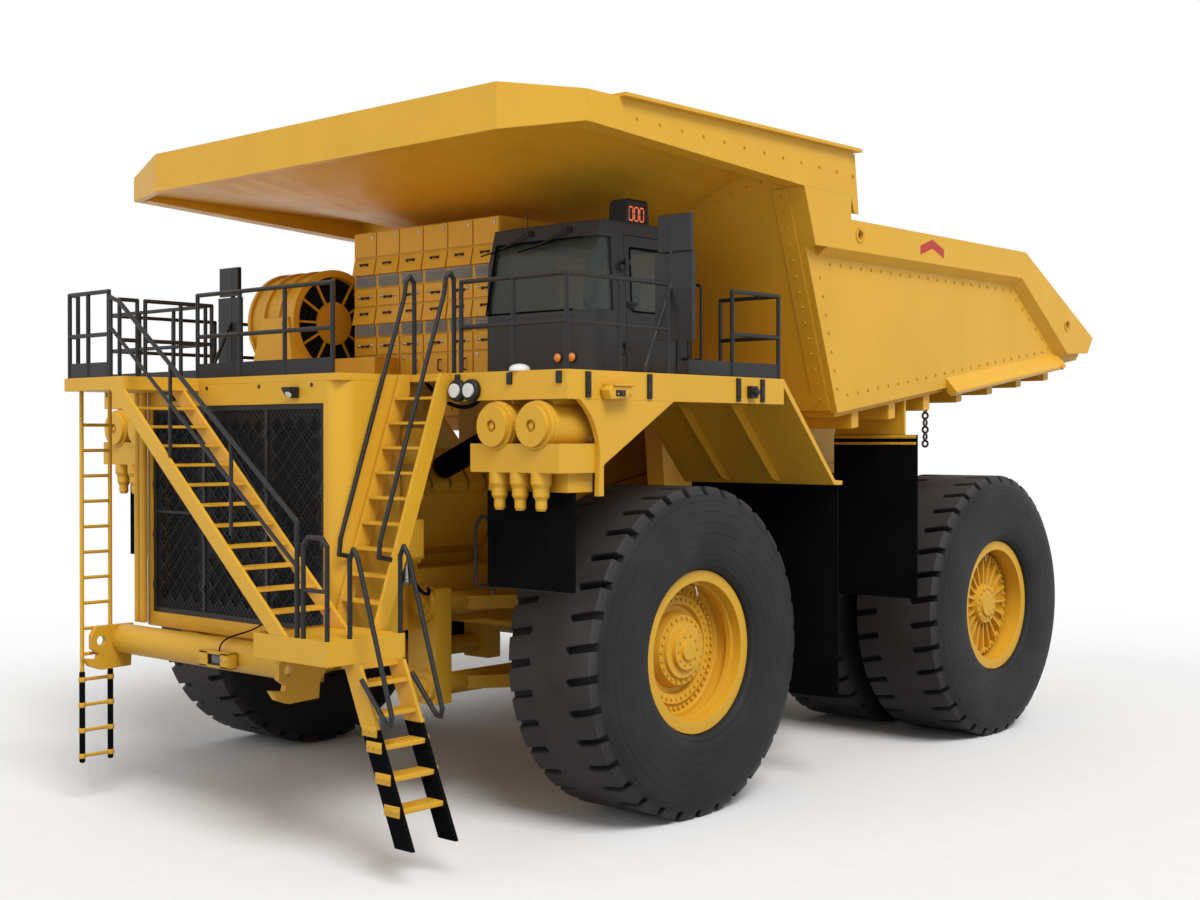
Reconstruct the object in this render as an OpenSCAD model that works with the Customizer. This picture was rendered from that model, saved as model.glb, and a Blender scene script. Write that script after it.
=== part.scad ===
// Large rigid mining dump truck: electric drive, twin rear wheels, tipping bed with
// a full-width canopy. +X forward, +Y to the driver's left, +Z up, origin on the
// ground below the middle of the overall length. Stations along X are measured
// from the front axle, and those of the bed and the rear frame from the rear axle.

/* [Layout] */
// Distance between the axles
wheelbase = 6860; // [6760:10:6960]
// From the front axle to the outer face of the front stair
front_reach = 4500; // [4460:10:4600]
// From the rear axle to the tip of the tail
tail_reach = 2950; // [2900:10:3050]
// Height of the deck's walking surface
deck_z = 5000; // [4980:5:5030]
// Thickness of the deck plate
deck_t = 80; // [60:5:100]
// Half width of the deck
deck_half = 4300; // [4260:10:4340]

/* [Wheels] */
// Outer radius of the tyres, at the tips of the lugs
tyre_r = 1880; // [1840:5:1900]
// Width of a tyre
tyre_w = 1450; // [1380:10:1460]
// Radius of the seat that the tyre's bead sits on
bead_r = 865; // [850:5:880]
// Radius of the rim's flanges
flange_r = 927; // [915:1:940]
// Width between the outer faces of a rim's flanges
rim_w = 1150; // [1100:10:1180]
// Thickness of a rim flange
flange_t = 45; // [35:1:55]
// Wall of the rim barrel
rim_wall = 65; // [50:1:80]
// Centre of the front wheels, out from the middle
front_wheel_y = 3395; // [3380:5:3420]
// Centre of the outer rear wheels, out from the middle
rear_wheel_y = 3485; // [3470:5:3500]
// Gap between the twin tyres
dual_gap = 170; // [150:5:180]

/* [Front axle] */
// Kingpin axis, out from the middle
kingpin_y = 2900; // [2880:5:2920]
// Radius of the front wheel spindle
spindle_r = 300; // [280:5:310]
// Radius of the kingpins
kingpin_r = 100; // [80:5:110]
// Length of the steering arm
steer_arm = 500; // [480:5:520]
// Radius of the tie rod
tie_rod_r = 55; // [45:1:60]
// Height of the lower suspension arm's underside
lower_arm_z = 1320; // [1300:5:1340]
// Height of the upper suspension arm's underside
upper_arm_z = 2270; // [2250:5:2290]
// Thickness of the suspension arms
arm_t = 160; // [140:5:180]

/* [Frame] */
// Inner face of the frame rails
rail_in = 600; // [590:5:610]
// Outer face of the frame rails
rail_out = 950; // [930:5:970]
// Radius of the bumper tube
bumper_r = 175; // [165:5:180]
// Height of the bumper tube's axis
bumper_z = 1910; // [1890:5:1930]
// Radius of the bore in the tow hooks
tow_bore_r = 60; // [50:1:65]
// Half width of the radiator housing
housing_half = 1900; // [1880:5:1920]
// Half width of the grille opening
grille_half = 1640; // [1600:10:1660]

/* [Bed] */
// Outer half width of the bed's top rails
bed_half = 4200; // [4180:5:4230]
// Inner half width of the load space
bed_in = 3950; // [3930:5:3970]
// Thickness of the side panels
side_t = 100; // [80:5:110]
// Thickness of the floor plate
floor_t = 90; // [70:5:100]
// Thickness of the front wall and the canopy
wall_t = 90; // [70:5:100]
// Height of the top rail's upper edge
rail_top_z = 7050; // [7010:10:7090]
// Height of the canopy's outer edges
canopy_z = 7620; // [7600:10:7640]
// Drop of the canopy's middle at the front wall
canopy_dip = 700; // [600:10:720]
// Overall height, at the canopy's front edge
top_z = 8050; // [8000:10:8100]
// Height of the tipping hinge
hinge_z = 3550; // [3530:5:3580]
// Radius of the tipping hinge pin
hinge_r = 120; // [100:5:130]
// Radius of the lifting bores in the bed's rails
lift_bore_r = 55; // [45:1:60]
// Radius of a hoist rod
hoist_rod_r = 150; // [130:5:155]
// Outer radius of a hoist barrel
hoist_barrel_r = 190; // [180:5:195]

/* [Cab] */
// Inner side of the cab, out from the middle
cab_y0 = 1420; // [1400:5:1440]
// Outer side of the cab, where the door is
cab_y1 = 3220; // [3200:5:3240]
// Front of the cab at the floor
cab_x1 = 1000; // [980:5:1020]
// Rear of the cab
cab_x0 = -1000; // [-1020:5:-990]
// Height of the cab's roof above the deck
cab_h = 1780; // [1760:5:1800]
// Wall of the cab
cab_wall = 70; // [60:1:80]
// Thickness of the window glass
glass_t = 14; // [10:1:20]

/* [Stairs and rails] */
// Radius of the handrail tubes
rail_r = 25; // [20:1:30]
// Height of the top handrail above the deck
rail_h = 970; // [900:10:1100]
// Radius of the ladder rungs
rung_r = 20; // [16:1:24]

/* [Hidden] */
$fn = 64;
paint = [0.90, 0.70, 0.24];
dark = [0.12, 0.12, 0.12];
rubber = [0.20, 0.20, 0.21];
steel = [0.55, 0.55, 0.56];
// Stations of the axles: the overall length is centred on the origin
fa = (front_reach + wheelbase + tail_reach) / 2 - front_reach;
ra = -wheelbase;
// Fits
run_fit = 0.05;
seat_fit = 0.3;
clear = 10;
axle_z = tyre_r;
// Upper face of a frame rail: front, middle and rear levels with slopes between
rail_front_top = 2750;
rail_mid_x = -1700;
rail_mid_top = 3250;
rail_rear_x = ra + 1500;
rail_rear_top = 3900;
function rail_top(x) = x < rail_rear_x ? rail_rear_top
    : rail_mid_top + (rail_mid_x - x) / (rail_mid_x - rail_rear_x) * (rail_rear_top - rail_mid_top);
frame_end = ra - 1590;
hinge_x = ra - 1240;
deck_under = deck_z - deck_t;
// Bed: foot of the front wall, its lean, and the floor's slope
foot_x = ra + 4060;
foot_z = 4660;
wall_lean = 19.2;
tail_x = ra - tail_reach;
floor_rise = 1000 / 7100;
function floor_z(x) = foot_z + (foot_x - x) * floor_rise;
// Front plane of the front wall: height to distance up the wall, and to station
function wall_s(z) = (z - foot_z + wall_t * sin(wall_lean)) / cos(wall_lean);
function wall_x(z) = foot_x + wall_s(z) * sin(wall_lean) + wall_t * cos(wall_lean);
// The canopy and the sides move with the overall height and the bed's width
design_top = 8050;
rise = top_z - design_top;
canopy_edge = canopy_z + rise;
design_half = 4200;
load_half = bed_in + bed_half - design_half;
band_z = 7350 + rise;
band_top = 7900 + rise;
band_rear = ra + 4060;
fascia_x = ra + 9210;
fascia_bend_y = 3200;
fascia_sweep = 300;
fascia_t = 100;
fascia_z = 7550 + rise;
fascia_drop = 170;
function fascia_back(y) = fascia_x - max(0, abs(y) - fascia_bend_y) / (bed_half - fascia_bend_y) * fascia_sweep;
// Underside of the canopy where it meets the front wall: flat middle, rising to the sides
dip_flat = 900;
function dip(y) = canopy_dip * (abs(y) < dip_flat ? 1
    : (1 + cos(180 * min(1, (abs(y) - dip_flat) / (load_half - dip_flat)))) / 2);
function canopy_rear_z(y) = canopy_edge - dip(y);
// Hoist: lower pin on the frame, upper pin under the floor
hoist_y = 1300;
hoist_eye_w = 180;
hoist_lug_t = 60;
hoist_lug_gap = hoist_rod_r + 25;
hoist_foot = [ra + 2760, 2300];
hoist_head = [ra + 1360, 4700];
hoist_len = norm(hoist_head - hoist_foot);
hoist_tilt = atan2(hoist_head[0] - hoist_foot[0], hoist_head[1] - hoist_foot[1]);
hoist_pin_r = 80;
hoist_eye_r = 170;
hoist_barrel_top = hoist_len - 330;
hoist_rod_len = hoist_len - 245;
// Front end: what lies ahead of the front wheels follows the front reach
landing_top = bumper_z + bumper_r + 250;
deck_front = front_reach - 1000;
landing_x0 = deck_front;
landing_x1 = front_reach;
landing_y0 = 1770;
landing_y1 = 2950;
side_deck_front = deck_front - 950;
deck_rear = -1200;
housing_back = deck_front - 850;
housing_front = deck_front;
housing_z = 2050;
housing_corner_r = 220;
grille_z0 = 2220;
grille_z1 = deck_under - 240;
// Bearing seats of the wheels
spindle_end = front_wheel_y + 270;
rear_spindle_r = 450;
rear_spindle_end = rear_wheel_y + 160;
dual_pitch = tyre_w + dual_gap;

// Corner to corner block
module beam(a, b) translate(a) cube(b - a);

// A shape and its mirror image across the middle
module both_sides() {
    children();
    mirror([0, 1, 0]) children();
}

// Outline in X and Z, extruded across from y0 to y1
module side_plate(y0, y1) translate([0, y1, 0]) rotate([90, 0, 0]) linear_extrude(y1 - y0) children();

// Outline in Y and Z, extruded along X from x0 to x1
module front_plate(x0, x1) translate([x0, 0, 0]) rotate([90, 0, 90]) linear_extrude(x1 - x0) children();

// Round bar from one point to another
module bar(p, q, r) {
    d = q - p;
    translate(p) rotate([0, acos(d[2] / norm(d)), atan2(d[1], d[0])]) cylinder(h = norm(d), r = r);
}

// Round bar along Y
module pin_y(x, z, r, y0, y1) translate([x, y0, z]) rotate([-90, 0, 0]) cylinder(h = y1 - y0, r = r);

// Round bar along X
module pin_x(y, z, r, x0, x1) translate([x0, y, z]) rotate([0, 90, 0]) cylinder(h = x1 - x0, r = r);

// Profile of radius and width, revolved about the Y axis
module turned() rotate([-90, 0, 0]) rotate_extrude() children();

// Outline in Y and up, run along a slope from p back to front at q, both in X and Z
module slope_run(p, q) {
    d = q - p;
    translate([p[0], 0, p[1]]) rotate([0, -atan2(d[1], d[0]), 0]) front_plate(0, norm(d)) children();
}

// Bent tube through a run of points
module tube(points, r) {
    for (i = [0 : len(points) - 2]) bar(points[i], points[i + 1], r);
    for (i = [1 : len(points) - 2]) translate(points[i]) sphere(r = r + 1);
}

// Shifts to the front axle's station
module from_axle() translate([fa, 0, 0]) children();

// Main frame: rails, cross members, strut towers, uprights, pivot posts, hoist brackets and bay posts
arm_post_x0 = 1450;
arm_post_x1 = 1700;
arm_post_y = 1430;
arm_pivot_y = 1250;
pivot_boss_r = 190;
pivot_cap_r = 110;
strut_y = 1750;
strut_top = 3450;
tower_half = 250;
upright_x = [1550, -1100];
upright_w = 200;
engine_z = 2250;
// Posts ahead of the engine: place, and boxes by offset, height, length and depth
bay_post = [housing_back - 400, 1350];
bay_post_w = 170;
bay_boxes = [[-50, 2900, 400, 380], [0, 3420, 300, 300], [-80, 3850, 420, 420]];
bay_box_w = 210;

module rail_outline() polygon([
    [deck_front - 150, 1750], [deck_front - 150, housing_z], [housing_back - 100, housing_z],
    [housing_back - 250, rail_front_top], [-700, rail_front_top],
    [rail_mid_x, rail_mid_top], [rail_rear_x, rail_rear_top], [frame_end, rail_rear_top],
    [frame_end, 3100], [ra + 1100, 3000], [ra + 2400, 2050], [-1500, 2080], [1500, 2080]
]);
module pivot_post() {
    beam([arm_post_x0, rail_out - 1, 1200], [arm_post_x1, arm_post_y, 2550]);
    for (z = [lower_arm_z, upper_arm_z]) {
        pin_x(arm_pivot_y, z + arm_t / 2, pivot_boss_r, arm_post_x1 - 1, arm_post_x1 + 60);
        pin_x(arm_pivot_y, z + arm_t / 2, pivot_cap_r, arm_post_x1, arm_post_x1 + 100);
    }
}
module strut_tower() front_plate(-tower_half, tower_half) polygon([
    [rail_in, rail_front_top - 50], [rail_out, rail_front_top - 50], [strut_y - 300, strut_top],
    [strut_y + 280, strut_top], [strut_y + 280, strut_top + 160], [rail_out, strut_top + 420],
    [rail_in, strut_top + 420]
]);
module bay_posts() {
    beam([bay_post[0], rail_out - 1, 2480], [bay_post[0] + bay_post_w, bay_post[1] + bay_post_w, 2680]);
    beam([bay_post[0], bay_post[1], 2480], [bay_post[0] + bay_post_w, bay_post[1] + bay_post_w, deck_under]);
    for (b = bay_boxes)
        translate([bay_post[0] + b[0], bay_post[1] + bay_post_w - 1, b[1]]) cube([b[2], bay_box_w, b[3]]);
}
module main_frame() color(paint) from_axle() {
    both_sides() {
        side_plate(rail_in, rail_out) rail_outline();
        for (x = upright_x) beam([x, rail_in, rail_front_top - 50], [x + upright_w, rail_out, deck_under]);
        pivot_post();
        mirror([1, 0, 0]) pivot_post();
        strut_tower();
        bay_posts();
        beam(
            [hoist_foot[0] - 220, rail_out - 1, 2060],
            [hoist_foot[0] + 220, hoist_y - hoist_barrel_r - 2 * clear, 2520]
        );
        pin_y(hoist_foot[0], hoist_foot[1], hoist_pin_r, rail_out - 1, hoist_y + hoist_eye_w / 2 + clear);
    }
    for (x = [1250, -600, ra + 2150]) beam([x, -rail_in - 1, 2080], [x + 300, rail_in + 1, engine_z]);
    beam([ra - 750, -rail_in - 1, 3150], [ra - 250, rail_in + 1, 3400]);
    beam([deck_front - 450, -1250, 1750], [deck_front - 150, 1250, housing_z]);
    pin_y(hinge_x, hinge_z, hinge_r, -rail_in - 1, rail_in + 1);
}

// Front bumper: tube, brackets and tow hooks
hook_y = 1800;
hook_t = 80;
bumper_x = front_reach - 700;
tow_x = bumper_x + 330;
module hook_outline() polygon([
    [bumper_x - 120, bumper_z + bumper_r], [tow_x + 40, bumper_z + bumper_r], [tow_x + 100, bumper_z + 70],
    [tow_x + 100, bumper_z - 90], [tow_x + 10, bumper_z - 150], [tow_x + 30, bumper_z - 215],
    [tow_x + 200, bumper_z - 190], [tow_x + 130, bumper_z - 290], [tow_x - 20, bumper_z - 345],
    [bumper_x - 80, bumper_z - 330]
]);
module front_bumper() color(paint) from_axle() {
    pin_y(bumper_x, bumper_z, bumper_r, -hook_y - hook_t / 2, hook_y + hook_t / 2);
    both_sides() {
        beam([deck_front - 150, 700, bumper_z - 120], [bumper_x, 900, bumper_z + 120]);
        difference() {
            side_plate(hook_y - hook_t / 2, hook_y + hook_t / 2) hook_outline();
            pin_y(tow_x - 20, bumper_z, tow_bore_r, hook_y - hook_t, hook_y + hook_t);
        }
    }
}

// Radiator housing round the grille opening, with round front corners
module housing_outline() {
    r = housing_corner_r;
    translate([housing_back, -housing_half]) square([housing_front - housing_back - r, 2 * housing_half]);
    translate([housing_back, -housing_half + r]) square([housing_front - housing_back, 2 * (housing_half - r)]);
    for (s = [-1, 1]) translate([housing_front - r, s * (housing_half - r)]) circle(r = r);
}
module radiator_housing() color(paint) from_axle() difference() {
    translate([0, 0, housing_z]) linear_extrude(deck_under - housing_z) housing_outline();
    beam([housing_back - 1, -grille_half, grille_z0], [housing_front + 1, grille_half, grille_z1]);
}

// Grille: three panels of diamond mesh between posts, in a frame
grille_x1 = housing_front - 40;
grille_t = 30;
grille_frame = 60;
mullion_y = 600;
mullion_w = 50;
mesh_pitch = 220;
mesh_hole = 130;
mesh_diag = mesh_hole * sqrt(2);
module mesh_holes(y0, y1, z0, z1) {
    ny = floor((y1 - y0 - mesh_diag) / mesh_pitch);
    nz = floor((z1 - z0 - mesh_diag) / mesh_pitch);
    for (i = [0 : 2 * ny]) for (k = [i % 2 : 2 : 2 * nz])
        translate([(y0 + y1) / 2 + (i - ny) * mesh_pitch / 2, (z0 + z1) / 2 + (k - nz) * mesh_pitch / 2])
            rotate(45) square(mesh_hole, center = true);
}
module grille() color(dark) from_axle() {
    z0 = grille_z0 + grille_frame;
    z1 = grille_z1 - grille_frame;
    edge = grille_half - grille_frame;
    front_plate(grille_x1 - grille_t, grille_x1) difference() {
        translate([-grille_half, grille_z0]) square([2 * grille_half, grille_z1 - grille_z0]);
        mesh_holes(-edge, -mullion_y - mullion_w / 2, z0, z1);
        mesh_holes(-mullion_y + mullion_w / 2, mullion_y - mullion_w / 2, z0, z1);
        mesh_holes(mullion_y + mullion_w / 2, edge, z0, z1);
    }
    front_plate(grille_x1 - 1, grille_x1 + 20) difference() {
        translate([-grille_half, grille_z0]) square([2 * grille_half, grille_z1 - grille_z0]);
        translate([-edge, z0]) square([2 * edge, z1 - z0]);
    }
    for (y = [-mullion_y, mullion_y])
        beam([grille_x1 - grille_t, y - mullion_w / 2, z0 - 1], [grille_x1 + 20, y + mullion_w / 2, z1 + 1]);
    beam([grille_x1 - 1, -edge - 1, 3410], [grille_x1 + 15, -mullion_y, 3440]);
}

// Radiator: core between its header tanks
header_h = 260;
module radiator() color(dark) from_axle() {
    beam([housing_back + 150, -grille_half, grille_z0], [housing_front - 250, grille_half, grille_z1]);
    for (z = [grille_z0, grille_z1 - header_h])
        beam([housing_back + 100, -grille_half, z], [housing_front - 180, grille_half, z + header_h]);
}

// Engine: block, cylinder heads with covers, gas pipes, turbochargers and the front gear case
engine_front = housing_back - 350;
engine_rear = -900;
head_spans = [[-800, -270], [270, 1500]];
cover_pitch = 300;
module bank(x0, x1) {
    front_plate(x0, x1) polygon([
        [500, 2850], [740, 2980], [820, 3150], [820, 3620], [660, 3880], [500, 3800]
    ]);
    n = floor((x1 - x0) / cover_pitch);
    w = (x1 - x0) / n;
    for (i = [0 : n - 1]) front_plate(x0 + w * i + 25, x0 + w * (i + 1) - 25) polygon([
        [560, 3600], [780, 3640], [810, 3760], [640, 4010], [540, 3980]
    ]);
}
module engine() color(paint) from_axle() {
    front_plate(engine_rear, engine_front) polygon([
        [-400, engine_z], [400, engine_z], [550, 2550], [550, 3650], [380, 3950], [-380, 3950],
        [-550, 3650], [-550, 2550]
    ]);
    both_sides() {
        for (s = head_spans) bank(s[0], s[1]);
        pin_x(300, 4040, 130, engine_rear + 150, engine_front - 500);
        pin_x(300, 4040, 230, 900, 1150);
        pin_x(300, 4040, 180, 1149, 1300);
    }
    front_plate(engine_front - 1, engine_front + 120) polygon([
        [-450, 2350], [450, 2350], [520, 3300], [300, 3800], [-300, 3800], [-520, 3300]
    ]);
    pin_x(0, 3000, 260, engine_front + 100, engine_front + 200);
}

// Suspension arms: upper and lower on each side, with cups for the kingpins
cup_r = 240;
module suspension_arm(z, strut_hole) difference() {
    union() {
        translate([0, 0, z]) linear_extrude(arm_t) polygon([
            [-1300, arm_pivot_y], [1300, arm_pivot_y], [420, 1900], [180, kingpin_y - 150],
            [180, kingpin_y], [-180, kingpin_y], [-180, kingpin_y - 150], [-420, 1900]
        ]);
        pin_x(arm_pivot_y, z + arm_t / 2, 130, -arm_post_x0, arm_post_x0);
        translate([0, kingpin_y, z - 20]) cylinder(h = arm_t + 40, r = cup_r);
    }
    translate([0, kingpin_y, z - 30]) cylinder(h = arm_t + 60, r = kingpin_r + run_fit);
    if (strut_hole) translate([0, strut_y, z - 30]) cylinder(h = arm_t + 60, r = 270);
}

module front_arms() color(paint) from_axle() both_sides() {
    suspension_arm(lower_arm_z, false);
    suspension_arm(upper_arm_z, true);
}

// Suspension struts: front between lower arm and frame tower, rear between axle and frame
rear_strut_y = 400;
rear_pad_z = 2540;
module struts() color(steel) from_axle() both_sides() {
    translate([0, strut_y, lower_arm_z + arm_t]) cylinder(h = strut_top - 900 - lower_arm_z - arm_t, r = 160);
    translate([0, strut_y, lower_arm_z + arm_t]) cylinder(h = 110, r = 230);
    translate([0, strut_y, strut_top - 900]) cylinder(h = 900, r = 220);
    translate([0, strut_y, strut_top - 140]) cylinder(h = 140, r = 250);
    translate([ra - 500, rear_strut_y, rear_pad_z]) cylinder(h = 2750 - rear_pad_z, r = 130);
    translate([ra - 500, rear_strut_y, 2750]) cylinder(h = 400, r = 170);
}

// Rear axle: housing, spindles, strut pads and the link to the frame
housing_r = 720;
module rear_axle() color(paint) from_axle() {
    translate([ra, 0, axle_z]) turned() polygon([
        [0, -880], [560, -880], [560, -760], [housing_r, -520], [housing_r, 520], [560, 760], [560, 880], [0, 880]
    ]);
    pin_y(ra, axle_z, rear_spindle_r, -rear_spindle_end, rear_spindle_end);
    both_sides() beam([ra - 700, rear_strut_y - 180, axle_z], [ra - 300, rear_strut_y + 160, rear_pad_z]);
    translate([0, 0, axle_z]) linear_extrude(260) polygon([
        [ra + 300, -480], [ra + 2150, -150], [ra + 2150, 150], [ra + 300, 480]
    ]);
    beam([ra + 1950, -150, axle_z], [ra + 2150, 150, 2400]);
}

// Upper deck: middle over the engine, sides over the front wheels, edge beams below
edge_h = 300;
edge_t = 100;
module upper_deck() color(paint) from_axle() {
    beam([deck_rear, -housing_half, deck_under], [deck_front, housing_half, deck_z]);
    both_sides() {
        beam([deck_rear, housing_half - 1, deck_under], [side_deck_front, deck_half, deck_z]);
        beam([deck_rear, deck_half - edge_t, deck_z - edge_h], [side_deck_front, deck_half, deck_under + 1]);
        beam([side_deck_front - edge_t, 2450, deck_z - edge_h], [side_deck_front, deck_half, deck_under + 1]);
        beam([deck_rear, housing_half, deck_z - edge_h], [deck_rear + edge_t, deck_half, deck_under + 1]);
    }
}

// Fenders: sloping rear plates with ribs below, and side plates cut round at the air cleaners
fender_t = 60;
flap_rear_x = -2450;
flap_t = 30;
fender_low = 3730;
fender_rib_y = [2700, 3500];
fender_rib_t = 30;
fender_arc_r = 700;
fender_arc_drop = 880;
fender_arc_start = 180 - asin((fender_arc_drop - edge_h) / fender_arc_r);
function arc(c, r, a0, a1) = [
    for (i = [0 : 6]) let (a = a0 + (a1 - a0) * i / 6) c + r * [cos(a), sin(a)]
];
module fenders() color(paint) from_axle() both_sides() {
    side_plate(1950, deck_half) polygon([
        [deck_rear, deck_z], [deck_rear, deck_z - 100], [flap_rear_x + 180, fender_low],
        [flap_rear_x, fender_low], [flap_rear_x, fender_low + 50], [flap_rear_x + 160, fender_low + 60]
    ]);
    for (y = fender_rib_y) side_plate(y, y + fender_rib_t) polygon([
        [deck_rear, deck_z - edge_h], [deck_rear, deck_z - 80], [flap_rear_x + 170, fender_low + 20],
        [flap_rear_x + 380, fender_low + 60]
    ]);
    side_plate(deck_half - fender_t, deck_half) polygon(concat(
        [[850, deck_z - edge_h]],
        arc([side_deck_front + 200, deck_z - fender_arc_drop], fender_arc_r, fender_arc_start, 180),
        [[side_deck_front - 480, 3710], [side_deck_front - 560, 3710], [side_deck_front - 560, 4030]]
    ));
}

// Handrails: posts with two rails along a run of points, hairpins at the stairs, and kick plates
module rail_run(points) {
    for (h = [0.5, 1]) for (i = [0 : len(points) - 2])
        bar(concat(points[i], deck_z + rail_h * h), concat(points[i + 1], deck_z + rail_h * h), rail_r);
    for (p = points) {
        translate([p[0], p[1], deck_z]) cylinder(h = rail_h, r = rail_r);
        translate([p[0], p[1], deck_z + rail_h]) sphere(r = rail_r + 1);
    }
}
kick_h = 170;
kick_t = 20;
platform_y0 = -1900;
platform_y1 = -750;
rail_inset = 45;
module kick(a, b) beam(
    [a[0] - kick_t / 2, a[1] - kick_t / 2, deck_z], [b[0] + kick_t / 2, b[1] + kick_t / 2, deck_z + kick_h]
);
// Stair rail on the outer stringer, and the hairpin where it meets the landing
stair_rail_x = landing_x1 - 30;
cross_r = rail_r - 4;
module stair_rail() {
    head = [-770, deck_z + 840];
    foot = [2450, landing_top + 1150];
    slope = (head[1] - foot[1]) / (head[0] - foot[0]);
    function rail_z(y) = foot[1] + (y - foot[0]) * slope;
    x = stair_rail_x;
    tube([[x, platform_y1 - 200, deck_z], [x, platform_y1 - 200, deck_z + 900], [x, head[0], head[1]],
        [x, foot[0], foot[1]], [x, foot[0], landing_top]], rail_r);
    bar([x, platform_y1 - 200, deck_z + 560], [x, foot[0], foot[1] - 450], cross_r);
    for (y = [240, 1350]) bar([x, y, rail_z(y) - 990], [x, y, rail_z(y)], cross_r);
    tube([[x, foot[0] + 100, landing_top], [x, foot[0] + 100, landing_top + 920],
        [x, foot[0] + 180, landing_top + 1000], [x, landing_y1 - 110, landing_top + 1000],
        [x, landing_y1 - 30, landing_top + 920], [x, landing_y1 - 30, landing_top]], rail_r);
    bar([x, foot[0] + 100, landing_top + 480], [x, landing_y1 - 30, landing_top + 480], cross_r);
}
module cab_stair_rails() {
    run = (landing_x0 - side_deck_front - 30) / (deck_z - landing_top);
    function front(z) = landing_x0 + 100 - (z - landing_top) * run;
    for (y = [cab_stair_y0 + stringer_t / 2, cab_stair_y1 - stringer_t / 2]) tube([
        [front(3050) + 9, y, 3050], [front(3050) + 170, y, 3080], [front(3250) + 220, y, 3250],
        [side_deck_front + 65, y, deck_z + 850], [side_deck_front + 40, y, deck_z + 1020],
        [side_deck_front - 20, y, deck_z + 1080], [side_deck_front - 75, y, deck_z + 1020],
        [side_deck_front - 80, y, deck_z + 850], [side_deck_front - 80, y, deck_z]
    ], rail_r);
}
ladder_rail_gap = rail_r + 0.3;
module ladder_rails() for (x = [ladder_x0 - ladder_rail_gap, ladder_x1 + ladder_rail_gap]) tube([
    [x, landing_y1 - 35, landing_top], [x, landing_y1 - 35, landing_top + 780],
    [x, landing_y1 + 20, landing_top + 880], [x, landing_y1 + 90, landing_top + 790],
    [x, landing_y1 + 590, 1640], [x, landing_y1 + 570, 1560], [x, landing_y1 + 500, 1570], [x, ladder_y(1950), 1950]
], rail_r);
module deck_rails() color(dark) from_axle() {
    front = deck_front - rail_inset;
    side_front = side_deck_front - rail_inset;
    side = deck_half - rail_inset;
    kick([front, platform_y1], [front, 1750]);
    kick([side_front, -side], [side_front, platform_y0 - 20]);
    kick([-1150, 3400], [-1150, side]);
    kick([-1150, side], [-250, side]);
    kick([landing_x1 - rail_inset, platform_y0 + 40], [landing_x1 - rail_inset, platform_y1 - 260]);
    rail_run([for (y = [platform_y1, 80, 910, 1740]) [front, y]]);
    rail_run([[front + 110, platform_y0 + rail_inset], [front + 350, platform_y0 + rail_inset]]);
    rail_run([[landing_x1 - 150, platform_y0 + rail_inset], [landing_x1 - rail_inset, platform_y0 + rail_inset],
        [landing_x1 - rail_inset, -1450], [landing_x1 - rail_inset, platform_y1 - 260]]);
    rail_run([[front, platform_y0 + rail_inset], [side_front + 450, platform_y0 + rail_inset],
        [side_front, platform_y0 + rail_inset]]);
    rail_run([[side_front, platform_y0 - 90], [side_front, -2700], [side_front, -3500], [side_front, -side],
        [1500, -side], [800, -side]]);
    rail_run([[450, -side], [-350, -side], [-1150, -side], [-1150, -3200], [-1150, -2200]]);
    rail_run([[side_front, 2720], [side_front, 3500], [side_front, side], [1700, side], [900, side]]);
    rail_run([[-250, side], [-1150, side], [-1150, 3400]]);
    stair_rail();
    cab_stair_rails();
    ladder_rails();
}

// Front stair: two stringers and treads, from the landing up to the platform
stair_x0 = front_reach - 820;
stair_foot_y = 2300;
stair_head_y = -650;
stringer_t = 40;
stringer_h = 230;
stair_treads = 11;
module front_stair() color(paint) from_axle() {
    stair_head_z = deck_z - 150;
    for (x = [stair_x0, landing_x1 - stringer_t]) front_plate(x, x + stringer_t) polygon([
        [stair_foot_y, landing_top], [stair_head_y, stair_head_z], [stair_head_y - 260, stair_head_z],
        [stair_foot_y - 260, landing_top]
    ]);
    for (i = [1 : stair_treads]) {
        f = i / (stair_treads + 1);
        y = stair_foot_y - 130 + (stair_head_y - stair_foot_y) * f;
        z = landing_top + (stair_head_z - landing_top) * f;
        beam([stair_x0 + 1, y - 120, z - 15], [landing_x1 - 1, y + 120, z + 15]);
    }
    beam([deck_front, platform_y0, deck_z - 150], [landing_x1, platform_y1 + 100, deck_z]);
}

// Cab stair: steep flight from the landing to the left deck
cab_stair_treads = 9;
cab_stair_y0 = housing_half + 10;
cab_stair_y1 = 2590;
module cab_stair() color(paint) from_axle() {
    foot = [landing_x0 + 100, landing_top];
    head = [side_deck_front + 130, deck_z];
    for (y = [cab_stair_y0, cab_stair_y1 - stringer_t]) side_plate(y, y + stringer_t) polygon([
        [foot[0], foot[1]], [head[0], head[1]], [head[0] - 130, head[1]], [head[0] - 130, head[1] - 200],
        [foot[0] - 180, foot[1]]
    ]);
    for (i = [1 : cab_stair_treads]) {
        f = i / (cab_stair_treads + 1);
        x = foot[0] - 90 + (head[0] - foot[0]) * f;
        z = foot[1] + (head[1] - foot[1]) * f;
        beam([x - 90, cab_stair_y0 + 1, z - 15], [x + 90, cab_stair_y1 - 1, z + 15]);
    }
}

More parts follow.
